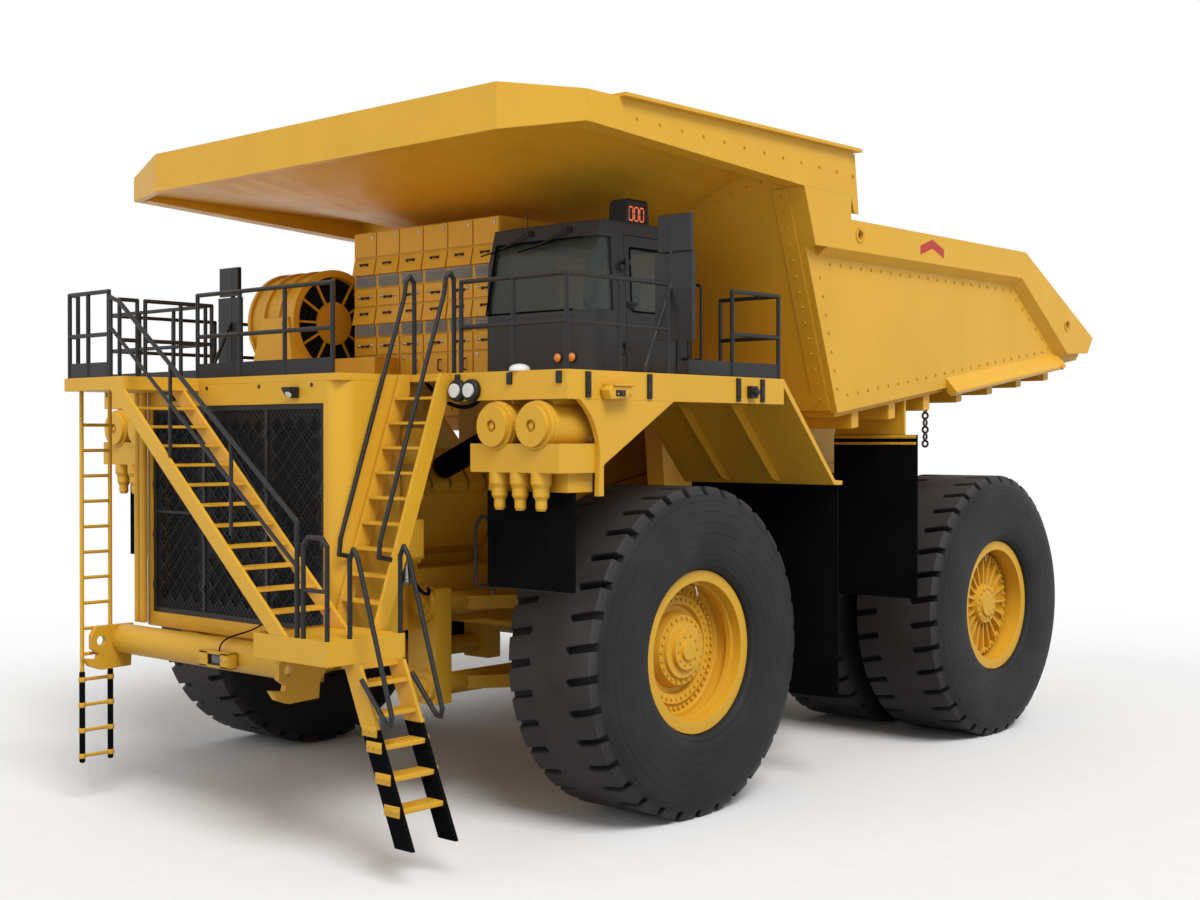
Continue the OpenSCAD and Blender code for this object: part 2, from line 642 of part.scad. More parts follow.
// Landing: box beside the bumper's end, with the fixed upper part of the boarding ladder
ladder_x0 = front_reach - 940;
ladder_x1 = front_reach - 340;
ladder_head = [landing_y1 + 80, bumper_z + bumper_r];
ladder_foot = [3800, 380];
ladder_split = 1480;
ladder_w = 250;
ladder_t = 40;
ladder_pitch = 290;
ladder_slope = (ladder_foot[0] - ladder_head[0]) / (ladder_head[1] - ladder_foot[1]);
function ladder_y(z) = ladder_head[0] + (ladder_head[1] - z) * ladder_slope;
module ladder_sides(z0, z1) for (x = [ladder_x0, ladder_x1 - ladder_t]) front_plate(x, x + ladder_t) polygon([
    [ladder_y(z1), z1], [ladder_y(z1) - ladder_w, z1], [ladder_y(z0) - ladder_w, z0], [ladder_y(z0), z0]
]);
module ladder_step(z) beam(
    [ladder_x0 + 1, ladder_y(z) - ladder_w + 20, z - 20], [ladder_x1 - 1, ladder_y(z) - 20, z + 20]
);
module landing() color(paint) from_axle() {
    beam([landing_x0, landing_y0, bumper_z + bumper_r], [landing_x1, landing_y1, landing_top]);
    beam(
        [ladder_x0, landing_y1 - 200, bumper_z + bumper_r - 60],
        [ladder_x1, landing_y1 - 1, bumper_z + bumper_r + 1]
    );
    ladder_sides(ladder_split, ladder_head[1]);
    for (z = [ladder_split + 120, ladder_split + 120 + ladder_pitch]) ladder_step(z);
}

// Boarding ladder: hanging rubber sides with steps between
module boarding_ladder() color(dark) from_axle() {
    ladder_sides(ladder_foot[1], ladder_split);
    for (z = [ladder_split - 170 : -ladder_pitch : ladder_foot[1] + 100]) ladder_step(z);
}

// Service ladder: rails, rungs, brace to the hook and the twin posts beside the housing
service_x = [front_reach - 570, front_reach - 200];
service_y = -1870;
service_rungs = 14;
service_pitch = 300;
service_foot = 480;
post_r = 45;
module service_rails(r) for (x = service_x) translate([x, service_y, service_foot])
    cylinder(h = deck_z - 150 - service_foot, r = r);
module service_ladder() color(paint) from_axle() {
    beam([service_x[0] - 20, service_y, bumper_z], [service_x[0] + 20, -hook_y - hook_t / 2, bumper_z + 40]);
    service_rails(rail_r);
    difference() {
        for (i = [0 : service_rungs - 1])
            pin_x(service_y, service_foot + 80 + i * service_pitch, rung_r, service_x[0], service_x[1]);
        service_rails(rail_r + seat_fit);
    }
    for (y = [-hook_y - hook_t / 2 + 5, -hook_y + hook_t]) translate([deck_front + 70, y, bumper_z + bumper_r])
        cylinder(h = deck_z - 150 - bumper_z - bumper_r, r = post_r);
}

// Cab: outer form with a sloping windshield, tapering sides and rounded corners, shrunk by an inset
cab_corner_r = 260;
cab_sill = 720;
cab_rake = 220;
cab_taper = 60;
module cab_form(inset) {
    x0 = cab_x0 + inset;
    x1 = cab_x1 - inset;
    y0 = cab_y0 + inset;
    y1 = cab_y1 - inset;
    z0 = deck_z + inset;
    z1 = deck_z + cab_h - inset;
    r = cab_corner_r - inset;
    intersection() {
        side_plate(y0, y1) polygon([
            [x0, z0], [x1, z0], [x1, deck_z + cab_sill], [x1 - cab_rake, z1], [x0, z1]
        ]);
        front_plate(x0, x1) polygon([
            [y0, z0], [y1, z0], [y1, deck_z + cab_sill], [y1 - cab_taper, z1], [y0 + cab_taper, z1],
            [y0, deck_z + cab_sill]
        ]);
        translate([0, 0, z0]) linear_extrude(z1 - z0) polygon(concat(
            arc([x1 - r, y1 - r], r, 0, 90), arc([x0 + r, y1 - r], r, 90, 180),
            arc([x0 + r, y0 + r], r, 180, 270), arc([x1 - r, y0 + r], r, 270, 360)
        ));
    }
}
door_x0 = -520;
door_x1 = 380;
door_z0 = deck_z + cab_wall + 10;
door_z1 = deck_z + 1640;
door_gap = 6;
door_swing_gap = 24;
sill = 760;
lintel = 1600;
module door_block(gap, swing_gap) beam(
    [door_x0 - swing_gap, cab_y1 - 400, door_z0 - gap], [door_x1 + gap, cab_y1 + 200, door_z1 + gap]
);
module door_window() beam(
    [door_x0 + 90, cab_y1 - 400, deck_z + sill], [door_x1 - 90, cab_y1 + 200, deck_z + lintel - 90]
);
module cab_windows() {
    beam([cab_x1 - 400, cab_y0 + 120, deck_z + sill], [cab_x1 + 200, cab_y1 + 200, deck_z + lintel]);
    beam([door_x1 + 260, cab_y1 - 400, deck_z + sill], [cab_x1 - 320, cab_y1 + 200, deck_z + lintel]);
    beam([cab_x0 + 170, cab_y0 - 200, deck_z + sill], [cab_x1 - 420, cab_y0 + 300, deck_z + lintel]);
    beam([cab_x0 - 200, cab_y0 + 250, deck_z + sill + 100], [cab_x0 + 200, cab_y1 - 250, deck_z + lintel]);
}
door_axis = [door_x1 + 30, cab_y1 + 25];
door_pin_r = 16;
hinge_knuckle_r = 24;
hinge_levels = [door_z0 + 250, door_z1 - 350];
module cab_shell() color(dark) from_axle() {
    difference() {
        cab_form(0);
        cab_form(cab_wall);
        cab_windows();
        door_block(door_gap, door_swing_gap);
    }
    for (z = hinge_levels) {
        beam([door_axis[0], cab_y1 - 60, z - 60], [door_axis[0] + 90, cab_y1 + 20, z]);
        translate([door_axis[0], door_axis[1], z - 60]) cylinder(h = 60, r = hinge_knuckle_r);
        translate([door_axis[0], door_axis[1], z - 60]) cylinder(h = 130, r = door_pin_r);
    }
}
module glass_skin() difference() {
    cab_form(cab_wall / 2 - glass_t / 2);
    cab_form(cab_wall / 2 + glass_t / 2);
}
module cab_glass() color([0.5, 0.6, 0.65, 0.4]) from_axle() intersection() {
    glass_skin();
    cab_windows();
}
module cab_door() color(dark) from_axle() {
    difference() {
        intersection() {
            cab_form(0);
            door_block(0, 0);
        }
        cab_form(cab_wall);
        door_window();
    }
    for (z = hinge_levels) difference() {
        union() {
            translate([door_axis[0], door_axis[1], z + 2]) cylinder(h = 60, r = hinge_knuckle_r);
            beam([door_x1 - 60, cab_y1 - 50, z + 2], [door_x1, cab_y1 + 20, z + 62]);
            beam([door_x1 - 60, cab_y1 + 4, z + 2], [door_axis[0], cab_y1 + 20, z + 62]);
        }
        translate([door_axis[0], door_axis[1], z]) cylinder(h = 70, r = door_pin_r + run_fit);
    }
}
module door_glass() color([0.5, 0.6, 0.65, 0.4]) from_axle() intersection() {
    glass_skin();
    door_window();
}

// Cab inside: seat, dashboard, steering column and wheel
wheel_ring_r = 190;
wheel_wire = 18;
wheel_tilt = 65;
module cab_interior() color(dark) from_axle() {
    floor = deck_z + cab_wall;
    mid = (cab_y0 + cab_y1) / 2 + 150;
    beam([-300, mid - 200, floor], [150, mid + 200, floor + 331]);
    beam([-380, mid - 270, floor + 330], [220, mid + 270, floor + 480]);
    side_plate(mid - 260, mid + 260) polygon([
        [-400, floor + 400], [-260, floor + 420], [-330, floor + 1080], [-440, floor + 1060]
    ]);
    side_plate(mid - 150, mid + 150) polygon([
        [-430, floor + 1050], [-340, floor + 1060], [-360, floor + 1260], [-440, floor + 1250]
    ]);
    side_plate(cab_y0 + 150, cab_y1 - 150) polygon([
        [660, floor], [860, floor], [860, floor + 600], [720, floor + 640], [640, floor + 560]
    ]);
    bar([690, mid, floor + 540], [605, mid, floor + 660], 35);
    translate([600, mid, floor + 665]) rotate([0, -wheel_tilt, 0]) {
        rotate_extrude() translate([wheel_ring_r, 0]) circle(r = wheel_wire);
        for (a = [90, 210, 330]) rotate([0, 0, a]) translate([0, -wheel_wire / 2, -wheel_wire / 2])
            cube([wheel_ring_r, wheel_wire, wheel_wire]);
        translate([0, 0, -25]) cylinder(h = 50, r = 45);
    }
}

// Control cabinets over the engine: columns of doors, two rows of them under sloping hoods
cabinet_x0 = -500;
cabinet_x1 = 500;
cabinet_y0 = -1480;
cabinet_top = deck_z + 2030;
cabinet_col = 460;
cabinet_cols = 6;
// Rows from the top: height, and depth of the hood over an air slot, if any
cabinet_rows = [[340, 0], [400, 60], [250, 0], [400, 60], [250, 0], [390, 0]];
panel_gap = 12;
panel_t = 15;
hood_h = 230;
function row_top(i) = i == 0 ? cabinet_top : row_top(i - 1) - cabinet_rows[i - 1][0];
module cabinet_door(y0, z1, h, hood) {
    a = y0 + panel_gap;
    b = y0 + cabinet_col - panel_gap;
    if (hood > 0) side_plate(a, b) polygon([
        [cabinet_x1 - 1, z1 - panel_gap], [cabinet_x1 + panel_t, z1 - panel_gap], [cabinet_x1 + hood, z1 - hood_h],
        [cabinet_x1 - 1, z1 - hood_h]
    ]);
    else beam([cabinet_x1 - 1, a, z1 - h + panel_gap], [cabinet_x1 + panel_t, b, z1 - panel_gap]);
}
module cabinets() color(paint) from_axle() {
    beam([cabinet_x0, cabinet_y0, deck_z], [cabinet_x1, cabinet_y0 + cabinet_cols * cabinet_col, cabinet_top]);
    for (c = [0 : cabinet_cols - 1]) for (i = [0 : len(cabinet_rows) - 1])
        cabinet_door(cabinet_y0 + c * cabinet_col, row_top(i), cabinet_rows[i][0], cabinet_rows[i][1]);
    beam([cabinet_x1 - 1, cabinet_y0, deck_z], [cabinet_x1 + 400, cabinet_y0 + 880, deck_z + 350]);
}

// Retarder grid: ribbed drum on the right deck, open towards the middle, with its motor and front shroud
grid_x = 600;
grid_r = 680;
grid_y0 = -2750;
grid_y1 = -1750;
grid_wall = 60;
grid_z = deck_z + grid_r + 170;
grid_rib = 35;
grid_disc_r = 290;
blower_shaft_r = 50;
fan_y = grid_y0 + 400;
module retarder_grid() color(paint) from_axle() {
    difference() {
        union() {
            pin_y(grid_x, grid_z, grid_r, grid_y0, grid_y1);
            for (y = [grid_y0, grid_y0 + 310, grid_y0 + 630, grid_y1 - 60])
                pin_y(grid_x, grid_z, grid_r + grid_rib, y, y + 60);
            beam([grid_x - 520, grid_y0 + 70, deck_z], [grid_x + 520, grid_y1 - 70, grid_z - 350]);
            front_plate(grid_x + grid_r - 200, grid_x + grid_r + 70) polygon([
                [-2650, deck_z], [-1700, deck_z], [-1720, 5240], [-1830, 5900], [-2380, 5900], [-2610, 5240]
            ]);
        }
        pin_y(grid_x, grid_z, grid_r - grid_wall, grid_y0 + grid_wall, grid_y1 + 200);
    }
    pin_y(grid_x, grid_z, 200, grid_y0 + grid_wall - 1, fan_y - 20);
    pin_y(grid_x, grid_z, blower_shaft_r, fan_y - 60, fan_y + 220);
    pin_y(grid_x, grid_z, grid_disc_r, grid_y1 - 70, grid_y1 - 35);
    for (a = [0 : 30 : 330]) translate([grid_x, grid_y1 - 65, grid_z]) rotate([0, a, 0])
        beam([-15, 0, grid_disc_r - 20], [15, 25, grid_r - 20]);
}
module blower() color(steel) from_axle() difference() {
    union() {
        pin_y(grid_x, grid_z, 120, fan_y, fan_y + 180);
        for (a = [0 : 45 : 315]) translate([grid_x, fan_y + 20, grid_z]) rotate([0, a, 0])
            beam([-30, 0, 80], [30, 140, grid_r - grid_wall - 40]);
    }
    pin_y(grid_x, grid_z, blower_shaft_r + run_fit, fan_y - 100, fan_y + 300);
}

// Air cleaners: two capped canisters over a box with dust cups, under each side deck
canister_r = 250;
canister_z = deck_z - edge_h - canister_r - 20;
canister_y = [deck_half - 970, deck_half - 400];
cleaner_x0 = side_deck_front - 600;
cleaner_x1 = side_deck_front + 50;
cleaner_y0 = deck_half - 1340;
cup_y = [deck_half - 1000, deck_half - 700, deck_half - 400];
module canister(y) {
    pin_x(y, canister_z, canister_r, cleaner_x0, cleaner_x1 + 10);
    pin_x(y, canister_z, canister_r + 10, cleaner_x1 - 90, cleaner_x1 - 40);
    difference() {
        pin_x(y, canister_z, canister_r - 35, cleaner_x1, cleaner_x1 + 60);
        pin_x(y, canister_z, 65, cleaner_x1 + 25, cleaner_x1 + 61);
    }
    pin_x(y, canister_z, 30, cleaner_x1, cleaner_x1 + 50);
    beam([cleaner_x0 + 100, y - 120, canister_z], [side_deck_front - edge_t, y + 120, deck_under]);
}
module dust_cup(y) translate([cleaner_x1 - 100, y, 3560]) rotate_extrude()
    polygon([[0, 0], [45, 0], [60, 30], [60, 110], [85, 150], [85, 230], [110, 280], [110, 391], [0, 391]]);
module air_cleaners() color(paint) from_axle() both_sides() {
    for (y = canister_y) canister(y);
    beam([cleaner_x0, cleaner_y0, 3950], [cleaner_x1, deck_half - fender_t - 1, canister_z - 180]);
    beam([cleaner_x0 + 50, cleaner_y0 + 40, 3750], [cleaner_x1 - 230, deck_half - 150, 3951]);
    for (y = cup_y) dust_cup(y);
}

// Headlamps under the front edge of the side decks
lamp_r = 95;
lamp_y = [2735, 2950];
module headlamps() color("white") from_axle() both_sides() for (y = lamp_y) {
    pin_x(y, deck_z - edge_h / 2 - 40, lamp_r, side_deck_front, side_deck_front + 60);
    pin_x(y, deck_z - edge_h / 2 - 40, lamp_r - 20, side_deck_front, side_deck_front + 85);
}

// Number displays: one on the cab roof facing the left side, one before the bumper tube
module displays() color(dark) from_axle() {
    roof = deck_z + cab_h;
    difference() {
        side_plate(2740, 3000) polygon([[-290, roof], [160, roof], [120, roof + 310], [-250, roof + 310]]);
        beam([-215, 2985, roof + 60], [85, 3001, roof + 260]);
    }
    front = bumper_x + bumper_r;
    difference() {
        beam([front, 230, bumper_z - 90], [front + 110, 750, bumper_z + 60]);
        beam([front + 95, 380, bumper_z - 60], [front + 111, 600, bumper_z + 30]);
    }
}

// Mirrors: two panels on a post with a stay, at the deck's outer edges
mirror_x = 620;
stay_foot = 80;
stay_h = 1000;
mirror_post_y = deck_half - 220;
module mirrors() color(dark) from_axle() both_sides() {
    translate([mirror_x, mirror_post_y, deck_z]) cylinder(h = 1700, r = 35);
    beam([mirror_x - 30, deck_half - 430, deck_z + 380], [mirror_x + 30, deck_half + 90, deck_z + 1330]);
    beam([mirror_x - 30, deck_half - 390, deck_z + 1350], [mirror_x + 30, deck_half + 60, deck_z + 1760]);
    tube([
        [mirror_x + 450, mirror_post_y, deck_z], [mirror_x + 450, mirror_post_y, deck_z + stay_foot],
        [mirror_x + 10, mirror_post_y, deck_z + stay_h]
    ], rail_r);
}

// Flaps in front of and behind the front wheels
front_flap_x = side_deck_front - 320;
module wheel_flaps() color(dark) from_axle() both_sides() {
    beam([front_flap_x, cleaner_y0 - 90, 2720], [front_flap_x + flap_t, deck_half - 170, 3750]);
    beam([flap_rear_x, 1950, 1080], [flap_rear_x + flap_t, deck_half - 50, fender_low]);
}

// Fuel and oil tanks on the sides of the frame, rounded along their length
tank = [-3750, 1350, 1150, 1550];
tank_r = 260;
module tank_outline() {
    translate([tank[0] + tank_r, tank[1]]) square([tank[2] - 2 * tank_r, tank[3]]);
    translate([tank[0], tank[1] + tank_r]) square([tank[2], tank[3] - 2 * tank_r]);
    for (x = [tank_r, tank[2] - tank_r]) for (z = [tank_r, tank[3] - tank_r])
        translate([tank[0] + x, tank[1] + z]) circle(r = tank_r);
}
module side_tanks() color(paint) from_axle() both_sides() {
    side_plate(1600, 3100) tank_outline();
    for (x = [-3600, -2950]) beam([x, rail_out, 2150], [x + 200, 1601, 2450]);
}

// Bed floor: plate, cross ribs, bolsters over the rails, hinge ears and hoist lugs
rib_d = 200;
bolster_in = rail_in + 30;
bolster_out = rail_out - 20;
ear_in = 250;
ear_out = 560;
function floor_under(x) = floor_z(x) - floor_t;
module bed_floor() color(paint) from_axle() {
    side_plate(-load_half, load_half) polygon([
        [foot_x, foot_z], [tail_x + 60, floor_z(tail_x + 60)], [tail_x + 60, floor_under(tail_x + 60)],
        [foot_x, floor_under(foot_x)]
    ]);
    for (x = [foot_x - 400 : -900 : tail_x + 500]) side_plate(-load_half, load_half) polygon([
        [x, floor_under(x) + 5], [x - 160, floor_under(x - 160) + 5], [x - 160, floor_under(x - 160) - rib_d],
        [x, floor_under(x) - rib_d]
    ]);
    both_sides() {
        side_plate(bolster_in, bolster_out) polygon([
            [foot_x - 200, floor_under(foot_x - 200) + 5], [foot_x - 300, rail_top(foot_x - 300) + clear],
            [rail_rear_x, rail_rear_top + clear], [hinge_x + 400, rail_rear_top + clear],
            [tail_x + 900, floor_under(tail_x + 900) + 5]
        ]);
        difference() {
            side_plate(ear_in, ear_out) union() {
                polygon([
                    [hinge_x - 230, hinge_z], [hinge_x + 230, hinge_z],
                    [hinge_x + 700, floor_under(hinge_x + 700) + 5], [hinge_x - 500, floor_under(hinge_x - 500) + 5]
                ]);
                translate([hinge_x, hinge_z]) circle(r = 230);
            }
            pin_y(hinge_x, hinge_z, hinge_r + run_fit, ear_in - 1, ear_out + 1);
        }
        for (y = [hoist_y - hoist_lug_gap - hoist_lug_t, hoist_y + hoist_lug_gap])
            side_plate(y, y + hoist_lug_t) polygon([
            [hoist_head[0] - 350, floor_under(hoist_head[0] - 350) + 5], [hoist_head[0] - 120, hoist_head[1] - 120],
            [hoist_head[0] + 120, hoist_head[1] - 120], [hoist_head[0] + 350, floor_under(hoist_head[0] + 350) + 5]
        ]);
        side_plate(2850, load_half) polygon([
            [flap_x - 40, floor_under(flap_x - 40) + 5], [flap_x - 40, flap_top - 150], [flap_x, flap_top - 150],
            [flap_x, floor_under(flap_x) + 5]
        ]);
    }
}
flap_x = ra + 2360;
flap_top = 4350;

// Flaps in front of the rear wheels, carried by the bed
module bed_flaps() color(dark) from_axle() both_sides()
    beam([flap_x, 2850, 2150], [flap_x + flap_t, 4160, flap_top]);

// Bed sides: panel with a proud top rail bevelled below, tail rail, front post and wedge skirt
rail_d = 390;
bevel_h = 100;
tail_knee = [ra - 660, rail_top_z];
tail_tip = [tail_x, 5890];
knee_in = [ra - 540, rail_top_z - rail_d];
tail_in = [ra - 2060, floor_z(ra - 2060) + 80];
skirt_front = ra + 1410;
skirt_rear = ra - 1990;
lift_bores = [[ra + 3860, rail_top_z - 180], [ra - 2030, floor_z(ra - 2030) + 530]];
module bed_sides() color(paint) from_axle() both_sides() difference() {
    bed_side();
    for (p = lift_bores) pin_y(p[0], p[1], lift_bore_r, load_half - 1, bed_half + 1);
}
module rail_bevel() polygon([
    [load_half + side_t - 1, -bevel_h], [load_half + side_t - 1, 1], [bed_half, 1], [bed_half, 0]
]);
module bed_side() {
    low = 40;
    face = load_half + side_t;
    rail_low = rail_top_z - rail_d;
    side_plate(load_half, face) polygon([
        [wall_x(foot_z - low), foot_z - low], [tail_x + 240, floor_z(tail_x + 240) - low],
        tail_tip, tail_knee, [band_rear, rail_top_z], [band_rear, band_z], [wall_x(band_z), band_z]
    ]);
    side_plate(face - 1, bed_half) polygon([
        [band_rear, rail_top_z], tail_knee, tail_tip, [tail_x + 190, floor_z(tail_x + 190) + 20], tail_in, knee_in,
        [wall_x(rail_low) - 250, rail_low], [wall_x(rail_low), rail_low], [wall_x(band_z), band_z], [band_rear, band_z]
    ]);
    slope_run(knee_in, [wall_x(rail_low) - 250, rail_low]) rail_bevel();
    slope_run(tail_in, knee_in) rail_bevel();
    slope_run([skirt_rear, floor_z(skirt_rear)], [skirt_front, floor_z(skirt_front)])
        polygon([[face - 1, 110], [face - 1, -90], [face + 60, -150], [bed_half, -110], [bed_half, -80]]);
}

// Front wall of the load space with proud edge strips, its top edge following the canopy
strip_w = 230;
strip_t = 15;
module bed_front() color(paint) from_axle() translate([foot_x, 0, foot_z]) rotate([0, wall_lean, 0]) {
    top = [for (i = [-16 : 16]) let (y = load_half * i / 16) [y, wall_s(canopy_rear_z(y) + wall_t)]];
    foot = wall_t * tan(wall_lean);
    front_plate(0, wall_t) polygon(concat(top, [[load_half, foot], [-load_half, foot]]));
    front_plate(wall_t - 1, wall_t + strip_t) difference() {
        translate([-load_half, foot]) square([2 * load_half, wall_s(band_z) - foot]);
        translate([-load_half + strip_w, foot + strip_w]) square([2 * (load_half - strip_w), wall_s(band_z)]);
    }
}

// Canopy: dished plate ruled from the front edge back to the front wall, with side bands and a fascia
canopy_cols = 16;
canopy_rows = 4;
canopy_seam = 3;
module canopy_plate() {
    half = load_half + 30;
    n = canopy_cols;
    m = canopy_rows;
    function at(i, j, up) = let (
        y = half * (2 * i / n - 1),
        zr = canopy_rear_z(y) + up,
        xr = wall_x(zr) + canopy_seam,
        xf = fascia_back(y) + fascia_t / 2,
        f = j / m
    ) [xr + (xf - xr) * f, y, zr + (canopy_edge + up - zr) * f];
    low = [for (j = [0 : m]) for (i = [0 : n]) at(i, j, 0)];
    high = [for (j = [0 : m]) for (i = [0 : n]) at(i, j, wall_t)];
    k = (n + 1) * (m + 1);
    function id(i, j) = j * (n + 1) + i;
    faces = concat(
        [for (j = [0 : m - 1]) for (i = [0 : n - 1]) each [
            [id(i, j), id(i + 1, j), id(i + 1, j + 1)], [id(i, j), id(i + 1, j + 1), id(i, j + 1)],
            [k + id(i, j), k + id(i + 1, j + 1), k + id(i + 1, j)], [k + id(i, j), k + id(i, j + 1), k + id(i + 1, j + 1)]
        ]],
        [for (i = [0 : n - 1]) each [
            [id(i, 0), k + id(i + 1, 0), id(i + 1, 0)], [id(i, 0), k + id(i, 0), k + id(i + 1, 0)],
            [id(i, m), id(i + 1, m), k + id(i + 1, m)], [id(i, m), k + id(i + 1, m), k + id(i, m)]
        ]],
        [for (j = [0 : m - 1]) each [
            [id(0, j), id(0, j + 1), k + id(0, j + 1)], [id(0, j), k + id(0, j + 1), k + id(0, j)],
            [id(n, j), k + id(n, j + 1), id(n, j + 1)], [id(n, j), k + id(n, j), k + id(n, j + 1)]
        ]]
    );
    polyhedron(concat(low, high), [for (f = faces) [f[2], f[1], f[0]]]);
}
module fascia() intersection() {
    translate([0, 0, fascia_z]) linear_extrude(top_z - fascia_z) polygon(concat(
        [for (y = [-bed_half, -fascia_bend_y, fascia_bend_y, bed_half]) [fascia_back(y), y]],
        [for (y = [bed_half, fascia_bend_y, -fascia_bend_y, -bed_half]) [fascia_back(y) + fascia_t, y]]
    ));
    front_plate(fascia_x - 2 * fascia_sweep, fascia_x + fascia_sweep) polygon([
        [-bed_half, fascia_z], [bed_half, fascia_z], [bed_half, top_z - fascia_drop], [fascia_bend_y, top_z],
        [-fascia_bend_y, top_z], [-bed_half, top_z - fascia_drop]
    ]);
}
side_strip = [120, 80, 40];
module canopy() color(paint) from_axle() {
    canopy_plate();
    fascia();
    front = fascia_back(bed_half) + 20;
    strip_front = front - 450;
    both_sides() {
        side_plate(load_half, bed_half) polygon([
            [band_rear, band_z], [wall_x(band_z), band_z], [front, fascia_z], [front, top_z - fascia_drop],
            [band_rear, band_top]
        ]);
        side_plate(bed_half - side_strip[0], bed_half + side_strip[1]) polygon([
            [band_rear - 130, band_top - 2], [strip_front, top_z - fascia_drop - 2],
            [strip_front, top_z - fascia_drop + side_strip[2]], [band_rear - 130, band_top + side_strip[2]]
        ]);
        side_plate(bed_half - 60, bed_half - 20) polygon([
            [band_rear + 1, band_top - 20], [band_rear - 110, band_top - 20], [band_rear - 200, rail_top_z + 90],
            [band_rear - 100, rail_top_z + 90], [band_rear + 1, band_z + 60]
        ]);
    }
}

// Rock ejector chains between the twin tyres
chain_x = ra - 390;
chain_links = 9;
link_r = 62;
link_wire = 17;
chain_y = rear_wheel_y - dual_pitch / 2;
hanger_w = 60;
module ejector_chains() color(steel) from_axle() both_sides() {
    hang_z = floor_under(chain_x) - 60;
    side_plate(chain_y - 20, chain_y + 20) polygon([
        [chain_x - hanger_w, floor_under(chain_x - hanger_w)], [chain_x + hanger_w, floor_under(chain_x + hanger_w)],
        [chain_x + hanger_w / 2, hang_z - 30], [chain_x - hanger_w / 2, hang_z - 30]
    ]);
    for (i = [0 : chain_links - 1])
        translate([chain_x, chain_y, hang_z - link_r - i * (2 * link_r - link_wire)])
            rotate([90, 0, 90 * ((i + 1) % 2)]) rotate_extrude()
                translate([link_r - link_wire, 0]) circle(r = link_wire);
}

// Hoists: barrel with an eye on the frame, rod with an eye under the floor
module hoist_barrel() translate([hoist_foot[0], hoist_y, hoist_foot[1]]) rotate([0, hoist_tilt, 0]) difference() {
    union() {
        pin_y(0, 0, hoist_eye_r, -hoist_eye_w / 2, hoist_eye_w / 2);
        cylinder(h = hoist_barrel_top, r = hoist_barrel_r);
    }
    pin_y(0, 0, hoist_pin_r + run_fit, -hoist_barrel_r - 1, hoist_barrel_r + 1);
    for (s = [-1, 1]) translate([0, s * (hoist_eye_w / 2 + 150), 0]) cube([500, 300, 400], center = true);
    translate([0, 0, 230]) cylinder(h = hoist_len, r = hoist_rod_r + run_fit);
}
module hoist_rod() translate([hoist_foot[0], hoist_y, hoist_foot[1]]) rotate([0, hoist_tilt, 0]) difference() {
    union() {
        translate([0, 0, hoist_len - hoist_rod_len]) cylinder(h = hoist_rod_len - 100, r = hoist_rod_r);
        pin_y(0, hoist_len, 140, -hoist_eye_w / 2, hoist_eye_w / 2);
    }
    pin_y(0, hoist_len, hoist_pin_r, -hoist_eye_w, hoist_eye_w);
}
module hoist_barrel_left() color(steel) from_axle() hoist_barrel();
module hoist_barrel_right() color(steel) from_axle() mirror([0, 1, 0]) hoist_barrel();
module hoist_rod_left() color("silver") from_axle() hoist_rod();
module hoist_rod_right() color("silver") from_axle() mirror([0, 1, 0]) hoist_rod();

// Knuckles: kingpin column, spindle and steering arm
column_r = 240;
arm_z = 1740;
arm_h = 80;
ball_r = 45;
ball_top = 1960;
module knuckle() {
    translate([0, kingpin_y, lower_arm_z + arm_t + 20 + clear])
        cylinder(h = upper_arm_z - lower_arm_z - arm_t - 40 - 2 * clear, r = column_r);
    translate([0, kingpin_y, lower_arm_z + 10]) cylinder(h = upper_arm_z + arm_t - lower_arm_z - 20, r = kingpin_r);
    pin_y(0, axle_z, spindle_r, kingpin_y, spindle_end);
    beam([-steer_arm - 70, kingpin_y - 70, arm_z], [0, kingpin_y + 70, arm_z + arm_h]);
    translate([-steer_arm, kingpin_y, arm_z]) cylinder(h = ball_top - arm_z, r = ball_r);
}
module knuckle_left() color(paint) from_axle() knuckle();
module knuckle_right() color(paint) from_axle() mirror([0, 1, 0]) knuckle();

// Tie rod between the steering arms
module tie_rod() color(paint) from_axle() difference() {
    union() {
        pin_y(-steer_arm, (arm_z + arm_h + ball_top) / 2, tie_rod_r, -kingpin_y, kingpin_y);
        for (s = [-1, 1]) translate([-steer_arm, s * kingpin_y, arm_z + arm_h + 5])
            cylinder(h = ball_top - arm_z - arm_h - 20, r = 90);
    }
    for (s = [-1, 1]) translate([-steer_arm, s * kingpin_y, arm_z]) cylinder(h = 400, r = ball_r + run_fit);
}

// Rims: barrel with flanges, stepped disc and hub
module rim_barrel() {
    translate([bead_r - rim_wall, -rim_w / 2]) square([rim_wall, rim_w]);
    for (s = [-1, 1]) translate([bead_r - 1, s > 0 ? rim_w / 2 - flange_t : -rim_w / 2])
        square([flange_r - bead_r + 1, flange_t]);
}
module front_rim() translate([0, front_wheel_y, axle_z]) turned() {
    rim_barrel();
    drum = bead_r - rim_wall;
    hub_in = -250;
    hub_out = spindle_end - front_wheel_y + 20;
    translate([drum - 45, 390]) square([46, 70]);
    polygon([[spindle_r + run_fit, hub_in], [450, hub_in], [450, 130], [drum + 1, 130], [drum + 1, 250], [drum - 60, 250],
        [drum - 75, 215], [640, 215], [625, 250], [520, 250], [500, 200], [440, 200], [400, 330], [330, 330], [320, 370],
        [230, 370], [220, 420], [120, 420], [110, 450], [0, 450], [0, hub_out], [spindle_r + run_fit, hub_out]]);
}

